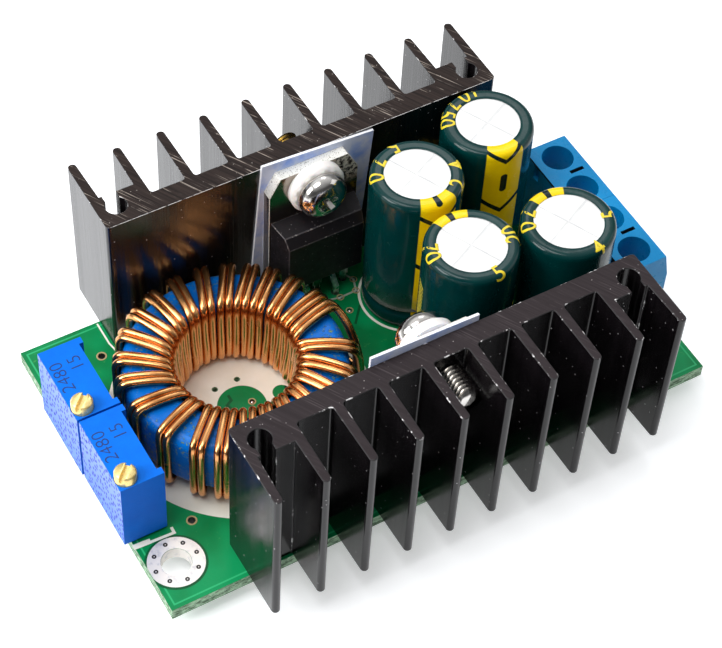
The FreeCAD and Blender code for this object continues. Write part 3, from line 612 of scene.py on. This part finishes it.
# Heatsinks and packages
black_front = anodised("black_anodised_front", 0.32, 0.006)
black_rear = anodised("black_anodised_rear", 0.65, 0.022)
black_end_front = sawn_end("sawn_front_end", tone(46, 40, 42), tone(56, 50, 52), tone(72, 65, 67),
                           tone(176, 168, 168))
black_end_rear = sawn_end("sawn_rear_end", tone(34, 28, 27), tone(58, 49, 46), tone(166, 154, 144),
                          tone(190, 182, 174))
rubbed = worn_edge()
epoxy = moulded_black()
rim_of_epoxy = clouded("rubbed_epoxy_rim", 0.4, 0.6, 5, tone(62, 58, 61), tone(160, 154, 148), (0.55, 0.63), 0.7)
tab_metal = package_metal()
tab_rim = sheared_metal()
white_nylon = clouded("white_nylon", 0.42, 1.4, 3, tone(238, 232, 228), tone(250, 248, 244),
                      relief=(0.5, 2, 0.01), Specular_IOR_Level=0.35, Subsurface_Weight=0.1,
                      Subsurface_Scale=0.4 * mm)
silicone = silicone_sheet()
# Painted highlight: the pads' cut rims are coloured near white, as where light catches them
silicone_rim_highlight = clouded("silicone_rim_painted_highlight", 0.7, 0.3, 3, tone(236, 238, 248), tone(250, 250, 252))
screw_steel = clouded("nickelled_steel", 0.12, 1.0, 3, tone(220, 218, 216), tone(186, 180, 172),
                      gloss=(0.6, 0.07, 0.24, 4, 0.35, 0.75), relief=(0.3, 2, 0.006), Metallic=1.0)
gold_thread = clouded("gold_passivated_steel", 0.24, 0.8, 3, tone(238, 218, 158), tone(186, 158, 98),
                      relief=(0.3, 2, 0.006), Metallic=1.0)

# Inductor and capacitors
blue_coat = coated_core()
copper = clouded("enamelled_copper", 0.24, 2.4, 3, tone(228, 162, 104), tone(196, 128, 72), (0.5, 0.8),
                 gloss=(1.4, 0.2, 0.28), Metallic=1.0, Coat_Weight=0.15, Coat_Roughness=0.1)
can_metal = can_top()
film = sleeve_film()
film_ink = clouded("yellow_film_ink", 0.35, 0.4, 3, tone(244, 220, 50), tone(214, 184, 34))

# Terminals, trimmers and control parts
terminal_blue = clouded("blue_terminal_plastic", 0.36, 3.0, 3, tone(0, 128, 192), tone(0, 146, 208),
                        gloss=(0.6, 0.24, 0.38), relief=(0.3, 2, 0.012), Specular_IOR_Level=0.2)
# Painted shade: a dark colour for the walls inside the terminals' clamp slots, where shade falls
slot_shade = clouded("painted_slot_shade", 0.7, 0.4, 2, tone(4, 20, 32), tone(10, 36, 54))
clamp_steel = clouded("zinc_plated_steel", 0.4, 0.7, 4, tone(184, 172, 154), tone(132, 122, 108),
                      gloss=(0.4, 0.24, 0.45), Metallic=0.6)
trimmer_blue = clouded("blue_trimmer_plastic", 0.5, 1.8, 4, tone(0, 98, 212), tone(0, 116, 230),
                       relief=(0.2, 3, 0.02), Specular_IOR_Level=0.12)
# Painted sheen: the finish for the trimmers' lit left side
side_sheen_finish = side_with_painted_sheen()
trimmer_ink = clouded("dark_blue_ink", 0.6, 0.3, 3, tone(0, 38, 92), tone(2, 60, 128))
brass = clouded("turned_brass", 0.36, 0.3, 4, tone(255, 238, 172), tone(246, 208, 122),
                gloss=(0.25, 0.26, 0.4), relief=(0.3, 2, 0.004), Metallic=0.7)
chip_body = clouded("chip_ceramic", 0.5, 0.5, 3, tone(160, 128, 98), tone(134, 102, 74))


# Board

board = dressed("circuit_board", mask, edge_of_board, pad_tin, via_hole_shade)
paint(board, 1, lambda place, normal: abs(normal.z) < 0.5)
paint(board, 2, lambda place, normal: abs(normal.z) < 0.5
      and any(abs(hypot(place.x - x, place.y - y) - mount_hole_radius) < 0.1 for x, y in mount_holes))
# Painted shade: the walls of the via holes get the dark colour of the shade inside them
paint(board, 3, lambda place, normal: abs(normal.z) < 0.5
      and any(hypot(place.x - x, place.y - y) < 0.6 for x, y in small_vias + large_vias))


def ring_on_board(name, x, y, inner, outer, bottom, thickness, finish, sides=64):
    """A flat ring, square in section, lying on or under the board."""
    ring = turned(name, [(inner, bottom), (outer, bottom), (outer, bottom + thickness), (inner, bottom + thickness),
                         (inner, bottom)], sides, finish)
    faces_out(ring)
    ring.data.transform(Matrix.Translation(at(x, y, 0)))
    smooth(ring)
    return ring


def kept_on_board(ring):
    """Cut off what reaches past the board's two ends."""
    margin = 0.03
    for end, outwards in ((margin, -1), (board_length - margin, 1)):
        edit(ring)
        bpy.ops.mesh.bisect(plane_co=at(end, 0, 0), plane_no=(outwards, 0, 0), use_fill=True, clear_outer=True,
                            threshold=0.0005 * mm)
        done()
    faces_out(ring)
    smooth(ring)
    return ring


def line_on_board(name, places, width, finish, top=0.02):
    """A flat line of one width from place to place on the board."""
    runs = []
    for number, ((x0, y0), (x1, y1)) in enumerate(zip(places, places[1:])):
        length, height = hypot(x1 - x0, y1 - y0), top + 0.001 * (number % 2)
        run = block(name, (-0.45 * width, -width / 2, 0.002), (length + 0.45 * width, width / 2, height), finish)
        run.data.transform(Matrix.Translation(at(x0, y0, 0)) @ Matrix.Rotation(atan2(y1 - y0, x1 - x0), 4, "Z")
                           @ Matrix.Translation(-at(0, 0, 0)))
        runs.append(run)
    return runs


pad_radius = 3.0
pads = []
for hole_x, hole_y in mount_holes:
    for bottom in (0.004, -board_thickness - 0.052):
        pads.append(kept_on_board(ring_on_board("mount_pad", hole_x, hole_y, mount_hole_radius + 0.02, pad_radius,
                                                bottom, 0.05, pad_tin)))
for hole_x, hole_y in large_vias:
    pads.append(ring_on_board("track_pad", hole_x, hole_y, 0.41, 0.58, 0.004, 0.03, tan_ring, 32))
for hole_x, hole_y in small_vias:
    pads.append(ring_on_board("track_pad", hole_x, hole_y, 0.31, 0.44, 0.012, 0.03, tan_ring, 32))
    bead = capped(turned("via_solder", [(0.29, -0.35), (0.25, -0.12), (0.15, -0.02), (0.05, 0.02)], 24, joint_metal))
    bead.data.transform(Matrix.Translation(at(hole_x, hole_y, 0)))
    smooth(bead, 60)
    pads.append(bead)
added(joined(pads, "board_pads"))

# Painted shade: each stitching via is a dark ring standing for the shade in its hole
dots = []
for hole_x, hole_y in mount_holes:
    for number in range(8):
        turn = radians(2 + 45 * number)
        dots.append(ring_on_board("stitch_via", hole_x + 2.35 * cos(turn), hole_y + 2.35 * sin(turn), 0.07, 0.25,
                                  0.04, 0.03, via_hole_shade, 16))
added(joined(dots, "stitching_vias"))

gaps = []
for hole_x, hole_y in mount_holes:
    gaps.append(kept_on_board(ring_on_board("pad_gap", hole_x, hole_y, pad_radius, 3.27, 0.002, 0.012, gap)))
gaps += line_on_board("track_gap", ((36.0, 25.1), (34.4, 23.2)), 0.28, gap, 0.012)
gaps += line_on_board("track_gap", ((16.2, 18.0), (17.0, 18.5), (16.6, 19.9), (17.3, 20.3), (17.3, 20.9)), 0.32, gap,
                      0.012)
gaps += line_on_board("track_gap", ((8.6, 31.3), (9.3, 29.6), (9.3, 26.0)), 0.3, gap, 0.012)
added(joined(gaps, "board_gaps"))

tracks = line_on_board("pale_track", ((33.2, 27.5), (34.7, 27.2), (36.75, 27.25), (37.3, 28.8), (36.5, 30.4)), 0.24,
                       bare_track)
added(joined(tracks, "bare_tracks"))

disc = ring_on_board("inductor_seat_ink", 18.0, 19.1, 2.7, 14.4, 0.003, 0.02, board_ink, 128)
holes = [turned("hole", [(size, -1), (size, 1)], 24) for size in (0.34, 0.34, 1.0)]
for hole, (x, y) in zip(holes, ((19.15, 22.5), (16.4, 22.4), (22.6, 18.7))):
    capped(hole)
    hole.data.transform(Matrix.Translation(at(x, y, 0)))
cut_away(disc, joined(holes, "via_cutter"))
prints = [disc]
for x, y, *rest in capacitors:
    prints.append(ring_on_board("capacitor_outline_ink", x, y, 5.16, 5.46, 0.003, 0.02, board_ink, 96))
prints += line_on_board("trimmer_ink", ((0.15, 8.5), (1.5, 8.42)), 0.62, board_ink, 0.026)
prints += line_on_board("trimmer_ink", ((0.1, 8.36), (4.35, 8.16), (4.37, 8.75)), 0.32, board_ink)
prints += line_on_board("sink_ink", ((9.1, 36.4), (9.1, 33.4), (9.3, 32.3), (10.2, 32.0)), 0.2, board_ink)
added(joined(prints, "board_printing"))


# Heatsinks

for node, black_side, black_end in (("front_heatsink", black_front, black_end_front),
                                    ("rear_heatsink", black_rear, black_end_rear)):
    sink = dressed(node, black_side, rubbed, black_end, width=0.1, edge=50, segments=2, edge_finish=1)
    paint(sink, 2, lambda place, normal: abs(normal.z) > 0.98)

for node in ("front_thermal_pad", "rear_thermal_pad"):
    sheet = dressed(node, silicone, silicone_rim_highlight)
    # Painted highlight: the rims, all but the broad faces, get the near-white rim colour
    paint(sheet, 1, lambda place, normal: abs(normal.y) < 0.7)


# Power packages

for name in ("rectifier", "regulator"):
    dressed(name + "_case", epoxy, rim_of_epoxy, width=0.09, edge=25, edge_finish=1)
    tab = dressed(name + "_tab", tab_metal, tab_rim, width=0.08, edge_finish=1)
    paint(tab, 1, lambda place, normal: normal.z > 0.3 and place.z > 3.4)
    dressed(name + "_side_leads", tin, width=0.05)
    dressed(name + "_bush", white_nylon, width=0.15, segments=3)


def threaded(name, radius, pitch, turns, finish):
    """A helical V thread on the Z axis, from the origin upwards, closed at both ends."""
    deselect()
    bpy.ops.mesh.primitive_plane_add(size=1)
    thread = bpy.context.object
    thread.name = name
    bpy.ops.object.mode_set(mode="EDIT")
    bpy.ops.mesh.select_all(action="SELECT")
    bpy.ops.mesh.merge(type="CENTER")
    bpy.ops.transform.translate(value=(radius * 0.84 * mm, 0, 0))
    for out, up in ((0.12, 0.38), (0.04, 0.12), (-0.04, 0.12), (-0.12, 0.38)):
        bpy.ops.mesh.extrude_vertices_move(TRANSFORM_OT_translate={
            "value": (out * radius * 1.333 * mm, 0, up * pitch * mm)})
    done()
    helix = thread.modifiers.new("helix", "SCREW")
    helix.axis = "Z"
    helix.angle = 2 * pi
    helix.screw_offset = pitch * mm
    helix.iterations = turns
    helix.steps = helix.render_steps = 32
    helix.use_merge_vertices = True
    helix.merge_threshold = 0.001 * mm
    apply_all(thread)
    thread.data.materials.append(finish)
    capped(thread)
    smooth(thread, 50)
    return thread


def pan_head_screw(name, head, height, shank, length, pitch, finish, thread_finish):
    """A cross-recessed pan head on the Z axis with its underside at the origin and its thread below."""
    rim = height * 0.32
    profile = [(shank, 0.0), (head * 0.97, 0.0), (head, 0.06 * height), (head, rim)]
    for step in range(1, 9):
        turn = radians(90 * step / 9)
        profile.append((head * (0.42 + 0.58 * cos(turn)), rim + (height - rim) * sin(turn)))
    profile += [(head * 0.42, height), (head * 0.1, height)]
    top = capped(turned(name, profile, 64, finish))
    arms = []
    for turn in (30, 120):
        deselect()
        bpy.ops.mesh.primitive_cube_add(size=1, location=(0, 0, height * mm))
        arm = bpy.context.object
        arm.scale = (head * 1.12 * mm, head * 0.27 * mm, height * 1.2 * mm)
        settle(arm)
        for vertex in arm.data.vertices:
            if vertex.co.z < height * mm:
                vertex.co.x *= 0.45
                vertex.co.y *= 0.6
        arm.data.transform(Matrix.Rotation(radians(turn), 4, "Z"))
        arms.append(arm)
    for arm in arms:
        cut_away(top, arm)
    soften(top, 0.035, 35, 2)
    turns = int(length / pitch)
    thread = threaded(name + "_thread", shank, pitch, turns, thread_finish)
    thread.data.transform(Matrix.Translation((0, 0, -(turns * pitch + pitch * 0.5) * mm)))
    tip = capped(turned(name + "_tip", [(shank * 0.4, -length), (shank * 0.66, -length + 0.08),
                                        (shank * 0.82, -length + 0.3), (shank * 0.82, 0.02)], 32, thread_finish))
    smooth(tip)
    return joined([top, thread, tip], name)


for name, x, face, facing, length, thread_steel in (("rectifier", 32.5, front_face, 1, 9.0, screw_steel),
                                                    ("regulator", 32.9, rear_face, -1, 8.35, gold_thread)):
    screw = pan_head_screw(name + "_screw_finished", 2.75, 2.0, 1.44, length, 0.5, screw_steel, thread_steel)
    screw.data.transform(Matrix.Translation(at(x, face + facing * 2.9, 16.4))
                         @ Matrix.Rotation(-facing * pi / 2, 4, "X"))
    stands_for(screw, name + "_screw")

sink_length = 47.0
channel_inset = 2.25
under = []
for left, face, outward in ((8.7, front_face, -1), (9.5, rear_face, 1)):
    for along in (channel_inset, sink_length - channel_inset):
        screw = pan_head_screw("heatsink_screw", 2.2, 1.9, 1.14, 8.6, 0.8, screw_steel, screw_steel)
        screw.data.transform(Matrix.Translation(at(left + along, face + outward * 2.5, -board_thickness))
                             @ Matrix.Rotation(pi, 4, "X"))
        under.append(screw)
stands_for(joined(under, "heatsink_screws_finished"), "heatsink_screws")


# Inductor: two wires laid side by side, turn by turn as they lie in the winding

coil_x, coil_y = 17.4, 19.4
wire_radius = 0.43
# Where each turn goes over the outside, in degrees round the core
outer_turns = [4, 14.8, 30, 43, 54, 66, 80, 95, 110, 124, 138.5, 153.5, 168, 185.5, 206, 224, 236, 248, 260, 273,
               290, 306, 321, 337.5]
# How far the last turns' legs stand out and lean, in millimetres and degrees
loose_legs = {22: (0.35, 1.5), 23: (0.75, 5.0)}
chance = random.Random(24)

dressed("inductor_core", blue_coat)


def coil_place(radius, angle, offset, z):
    """A place by its radius and angle round the core, offset millimetres sideways along the winding."""
    turn = radians(angle)
    return at(coil_x + radius * cos(turn) - offset * sin(turn), coil_y + radius * sin(turn) + offset * cos(turn), z)


def wire_points(side):
    """One wire's path: up the outside, straight over the top, down the inside and back below, turn by turn."""
    low, high, outer, inner = 0.6, 8.95, 12.44, 6.68
    outside, inside = side * 0.45, side * 0.43
    foot = inner - 0.48 - 0.1 * side
    run = 0.5 + 0.45 * (side + 1)
    points = [coil_place(outer, 4, side * 0.5, height) for height in (-2.85, -0.9)]
    points += [coil_place(outer + 0.05, 4, side * 0.5, run), coil_place(13.3, -6, 0, run),
               coil_place(13.9, -12.5, side * 0.5, run), coil_place(13.8, -11, side * 0.5, 4.0),
               coil_place(13.1, -4, side * 0.48, 7.4)]
    for turn, angle in enumerate(outer_turns):
        in_angle = 15 * turn - 2 + chance.uniform(-0.7, 0.7)
        lift = chance.uniform(0.0, 0.14)
        swell = chance.uniform(-0.05, 0.16)
        out, slant = loose_legs.get(turn, (0.0, 0.0))
        if turn:
            points.append(coil_place(outer - 0.05 + out * 0.3, angle + slant * 0.6, outside, low))
            points.append(coil_place(outer + swell + 0.05 + out, angle + slant, outside, low + 2.4))
            points.append(coil_place(outer + swell + out * 0.7, angle + slant * 0.4, outside, high - 2.5))
        else:
            angle = 6.4
        over = coil_place(outer + 0.08, angle, outside, high + lift * 0.4)
        down = coil_place(inner - 0.02, in_angle, inside, high - 0.08)
        points.append(over)
        for share in (0.3, 0.68):
            along = over.lerp(down, share)
            along.z = at(0, 0, high + 0.23 + lift).z
            points.append(along)
        points.append(down)
        if turn < len(outer_turns) - 1:
            points.append(coil_place(inner - 0.06, in_angle, inside, high - 3.4))
            points.append(coil_place(foot + 0.12, in_angle, inside, low + 2.0))
            under = coil_place(foot, in_angle + 0.3, inside, low)
            points.append(under)
            back_out = coil_place(outer - 0.05, outer_turns[turn + 1], outside, low)
            points += [under.lerp(back_out, 0.3), under.lerp(back_out, 0.7)]
        else:
            points.append(coil_place(inner, in_angle + 4, inside, high - 2.6))
            points += [coil_place(inner, 355, inside, height) for height in (low + 1.6, -0.6, -2.85)]
    return points


def wound_wire(name, side):
    points = wire_points(side)
    curve = bpy.data.curves.new(name, "CURVE")
    curve.dimensions = "3D"
    spline = curve.splines.new("NURBS")
    spline.points.add(len(points) - 1)
    for point, place in zip(spline.points, points):
        point.co = (*place, 1)
    spline.order_u = 3
    spline.use_endpoint_u = True
    spline.resolution_u = 5
    curve.bevel_depth = wire_radius * mm
    curve.bevel_resolution = 3
    curve.use_fill_caps = True
    wire = bpy.data.objects.new(name, curve)
    bpy.context.collection.objects.link(wire)
    only(wire)
    bpy.ops.object.convert(target="MESH")
    wire = bpy.context.object
    faces_out(wire)
    wire.data.materials.append(copper)
    smooth(wire, 60)
    return wire


stands_for(wound_wire("inductor_wire_a_wound", -1), "inductor_wire_a")
stands_for(wound_wire("inductor_wire_b_wound", 1), "inductor_wire_b")


# Capacitors

sleeve_radius = 5.05
# Radius and height up the outside of a sleeve, over its rounded edge to the opening
sleeve_outside = [(4.2, 0.14), (4.5, 0.14), (4.8, 0.24), (4.98, 0.44), (5.05, 0.74), (5.05, 1.95), (4.94, 2.1),
                  (4.76, 2.28), (4.7, 2.5), (4.76, 2.72), (4.94, 2.9), (5.05, 3.05), (5.05, 8.0), (5.05, 14.0),
                  (5.05, 19.3), (5.02, 19.6), (4.93, 19.85), (4.78, 20.02), (4.58, 20.12), (4.35, 20.13),
                  (3.85, 20.12), (3.6, 20.1), (3.55, 20.07)]


def along_sleeve(distance):
    """Radius, height and outward direction at a distance in millimetres up the sleeve's outside."""
    walked = 0.0
    for (r0, z0), (r1, z1) in zip(sleeve_outside, sleeve_outside[1:]):
        step = hypot(r1 - r0, z1 - z0)
        if walked + step >= distance or (r1, z1) == sleeve_outside[-1]:
            share = (distance - walked) / step
            return r0 + (r1 - r0) * share, z0 + (z1 - z0) * share, ((z1 - z0) / step, (r0 - r1) / step)
        walked += step


def lay_out(piece, x, y, stripe, shift):
    """UV map of a sleeve: millimetres round it from the stripe's middle, and millimetres up and inwards."""
    layer = piece.data.uv_layers.new(name="around")
    centre = at(x, y, 0)
    for face in piece.data.polygons:
        middle = atan2(face.center.y - centre.y, face.center.x - centre.x) - radians(stripe)
        middle -= 2 * pi * floor(middle / (2 * pi) + 0.5)
        for loop in face.loop_indices:
            place = piece.data.vertices[piece.data.loops[loop].vertex_index].co
            angle = atan2(place.y - centre.y, place.x - centre.x) - radians(stripe)
            angle -= 2 * pi * floor((angle - middle) / (2 * pi) + 0.5)
            height = place.z / mm - board_thickness
            inwards = sleeve_radius - hypot(place.x - centre.x, place.y - centre.y) / mm if height > 15 else 0.0
            layer.data[loop].uv = (angle * sleeve_radius, height + inwards + shift)


def wrapped_figures(words, x, y, direction, middle, size=2.9, tilt=0):
    """Printed figures bent round a sleeve at that direction, their middle that far up its outside."""
    ink = lettering(words, size, 0.012, film_ink, 0.006 * size)
    ink.data.transform(Matrix.Rotation(radians(tilt), 4, "Z"))
    edit(ink)
    bpy.ops.mesh.quads_convert_to_tris()
    bpy.ops.mesh.subdivide(number_cuts=3)
    done()
    centre = at(x, y, 0)
    for vertex in ink.data.vertices:
        radius, height, out = along_sleeve(middle + vertex.co.y / mm)
        turn = radians(direction) + vertex.co.x / mm / sleeve_radius
        rise = vertex.co.z / mm + 0.012
        radius += out[0] * rise
        height += out[1] * rise
        vertex.co = centre + Vector((radius * cos(turn), radius * sin(turn), height)) * mm
    return ink


for number, (x, y, stripe, opening, shift, figures) in enumerate(capacitors, start=1):
    name = "capacitor_%d" % number
    profile = sleeve_outside[:-2] + [(opening + 0.05, 20.1), (opening, 20.06)]
    sleeve = turned(name + "_sleeve_film", profile, 96, film)
    sleeve.data.transform(Matrix.Translation(at(x, y, 0)))
    faces_out(sleeve)
    lay_out(sleeve, x, y, stripe, shift)
    wall = sleeve.modifiers.new("wall", "SOLIDIFY")
    wall.thickness = 0.09 * mm
    wall.offset = -1
    apply_all(sleeve)
    smooth(sleeve, 50)
    stands_for(sleeve, name + "_sleeve")

    can = dressed(name + "_can", can_metal)
    layer = can.data.uv_layers.new(name="disc")
    centre = at(x, y, 0)
    for loop in can.data.loops:
        place = (can.data.vertices[loop.vertex_index].co - centre) / mm
        layer.data[loop.index].uv = (place.x * 0.9 + place.y * 0.44, place.y * 0.9 - place.x * 0.44)
    dressed(name + "_leads", tin)

    marks = [wrapped_figures(words, x, y, direction, 20.95) for words, direction in figures]
    marks += [wrapped_figures("470", x, y, stripe + 210, 12.0), wrapped_figures("35", x, y, stripe + 150, 12.0)]
    if name == "capacitor_3":
        marks.append(wrapped_figures("////////////", x, y, 163, 12.6, 1.9, -90))
    added(joined(marks, name + "_figures"))


# Terminals

for block_number in (1, 2):
    housing = dressed("terminal_%d_housing" % block_number, terminal_blue, slot_shade, width=0.14, segments=3)
    # Painted shade: the faces inside the clamp slots get the dark slot colour
    paint(housing, 1, lambda place, normal: 8.3 < place.z < 9.9 and place.x < 64
          and min(abs(place.y - 13.81), abs(place.y - 23.97)) < 0.3)
for way in range(1, 5):
    dressed("clamp_%d_cage" % way, clamp_steel, width=0.05)
    dressed("clamp_%d_plate" % way, clamp_steel, width=0.05)
    dressed("clamp_%d_screw" % way, clamp_steel, width=0.06)


# Trimmers

for number, (x, y) in enumerate(trimmer_corners, start=1):
    name = "trimmer_%d" % number
    housing = dressed(name + "_housing", trimmer_blue, side_sheen_finish, width=0.08)
    # Painted sheen: the left side, on which the light falls, gets the paler side finish
    paint(housing, 1, lambda place, normal: normal.x < -0.98)
    dressed(name + "_screw", brass, width=0.08)
    dressed(name + "_pins", tin)
    figures = []
    for words, across, along in (("2480", 1.05, 5.6), ("15", 3.05, 6.7)):
        ink = lettering(words, 2.05, 0.02, trimmer_ink, -0.03)
        ink.data.transform(Matrix.Translation(at(x + across, y + along, 10.108)) @ Matrix.Rotation(pi / 2, 4, "Z"))
        figures.append(ink)
    added(joined(figures, name + "_figures"))


# Control parts

dressed("amplifier_case", epoxy, width=0.06)
dressed("amplifier_leads", tin, width=0.03)
dressed("chip_components", chip_body, tin, width=0.05)
dressed("shunt_resistor", epoxy, width=0.05)


# Solder

def fillet(x, y, radius, lead):
    """A solder cone round a lead on the board's underside."""
    rise = 0.9
    profile = [(radius, 0.0), (radius * 0.86, 0.1), (radius * 0.6, 0.3 * rise), (lead * 1.3, 0.65 * rise),
               (lead * 1.02, rise), (lead * 0.5, rise + 0.02)]
    cone = capped(turned("solder_joint", [(r, -board_thickness - z) for r, z in profile], 24, joint_metal))
    cone.data.transform(Matrix.Translation(at(x, y, 0)))
    smooth(cone, 60)
    return cone


# Each joint's X and Y, its pad's radius and its lead's radius
leads = []
for x, y, *rest in capacitors:
    leads += [(x, y - 2.5, 0.95, 0.3), (x, y + 2.5, 0.95, 0.3)]
leads += [(62.05, 11.27 + terminal_pitch * way, 1.4, 0.72) for way in range(4)]
leads += [(32.9 + number * 1.7, 28.2 if number % 2 else 29.6, 0.8, 0.43) for number in range(-2, 3)]
leads += [(32.5 + (number - 1) * pin_pitch, 7.5, 1.05, 0.43) for number in range(3)]
for x, y in trimmer_corners:
    leads += [(x + 2.4, y + 4.775 + step * pin_pitch, 0.85, 0.25) for step in (-1, 0, 1)]
leads += [(29.81, 20.27, 1.5, 0.9), (24.07, 18.82, 1.4, 0.8)]
added(joined([fillet(*lead) for lead in leads], "solder_joints"))


# Floor, light and camera

deselect()
bpy.ops.mesh.primitive_plane_add(size=4, location=(0.02, 0.01, cad_low.z))
ground = bpy.context.object
ground.name = "floor"
paper = Finish("white_paper", 0.7)
paper.colour(paper.noise(60.0, 2), (0.85, 0.86, 0.88), (0.88, 0.89, 0.91))
path = paper.node("ShaderNodeLightPath")
seen = paper.math("MAXIMUM", path.outputs["Is Camera Ray"], paper.math(
    "MAXIMUM", path.outputs["Is Glossy Ray"], path.outputs["Is Transmission Ray"]))
paper.surface.inputs["Emission Color"].default_value = (1, 1, 1, 1)
paper.use("Emission Strength", paper.math("MULTIPLY", seen, 0.4))
ground.data.materials.append(paper.material)

# The studio is pale at the horizon, darker above it, and brightest overhead and behind the module. The camera
# itself sees white there.
world = bpy.data.worlds.new("studio")
bpy.context.scene.world = world
world.use_nodes = True
room = world.node_tree
back = room.nodes["Background"]
back.inputs["Color"].default_value = (0.97, 0.985, 1.0, 1)
towards = room.nodes.new("ShaderNodeSeparateXYZ")
room.links.new(room.nodes.new("ShaderNodeTexCoord").outputs["Generated"], towards.inputs["Vector"])


def level_along(axis, low, high, start, end):
    """Light from start to end as the direction's share of the axis goes from low to high."""
    level = room.nodes.new("ShaderNodeMapRange")
    for socket, value in (("From Min", low), ("From Max", high), ("To Min", start), ("To Max", end)):
        level.inputs[socket].default_value = value
    room.links.new(towards.outputs[axis], level.inputs["Value"])
    return level.outputs["Result"]


def combined(operation, first, second):
    result = room.nodes.new("ShaderNodeMath")
    result.operation = operation
    room.links.new(first, result.inputs[0])
    room.links.new(second, result.inputs[1])
    return result.outputs["Value"]


height_level = combined("MAXIMUM", level_along("Z", 0.04, 0.22, 0.95, 0.25), level_along("Z", 0.4, 0.75, 0.0, 1.0))
light_level = combined("MULTIPLY", height_level, level_along("Y", -0.6, 0.6, 0.35, 1.15))
camera_sees = room.nodes.new("ShaderNodeLightPath").outputs["Is Camera Ray"]
room.links.new(combined("MAXIMUM", light_level, camera_sees), back.inputs["Strength"])


def softbox(name, place, target, width, height, power):
    deselect()
    bpy.ops.object.light_add(type="AREA", location=place)
    lamp = bpy.context.object
    lamp.name = name
    lamp.data.shape = "RECTANGLE"
    lamp.data.size = width
    lamp.data.size_y = height
    lamp.data.energy = power
    lamp.rotation_euler = (Vector(target) - Vector(place)).to_track_quat("-Z", "Y").to_euler()
    return lamp


middle = (0.03, 0.014, 0.008)
softbox("left_softbox", (-0.32, 0.06, 0.24), middle, 0.2, 0.2, 1.3)
softbox("overhead_softbox", (-0.1, 0.02, 0.42), middle, 0.24, 0.2, 0.8)
softbox("rear_sheen", (0.183, 0.248, 0.361), middle, 0.12, 0.12, 0.12)
softbox("right_fill", (0.4, -0.12, 0.2), middle, 0.3, 0.25, 0.25)

# The camera as solved from the photo
deselect()
bpy.ops.object.camera_add(location=(-0.04776851875182027, -0.10538061828947098, 0.18774448245061354),
                          rotation=(0.6720799498141141, -0.041671824707691485, -0.5199915400813662))
camera = bpy.context.object
camera.name = "photo_camera"
camera.data.sensor_width = 36
camera.data.lens = 106.40921547670533
camera.data.shift_x = 0.0015551207974050557
camera.data.shift_y = -0.0159950132745832
camera.data.clip_start = 0.01
camera.data.clip_end = 20
bpy.context.scene.camera = camera
bpy.context.scene.view_settings.view_transform = "Standard"
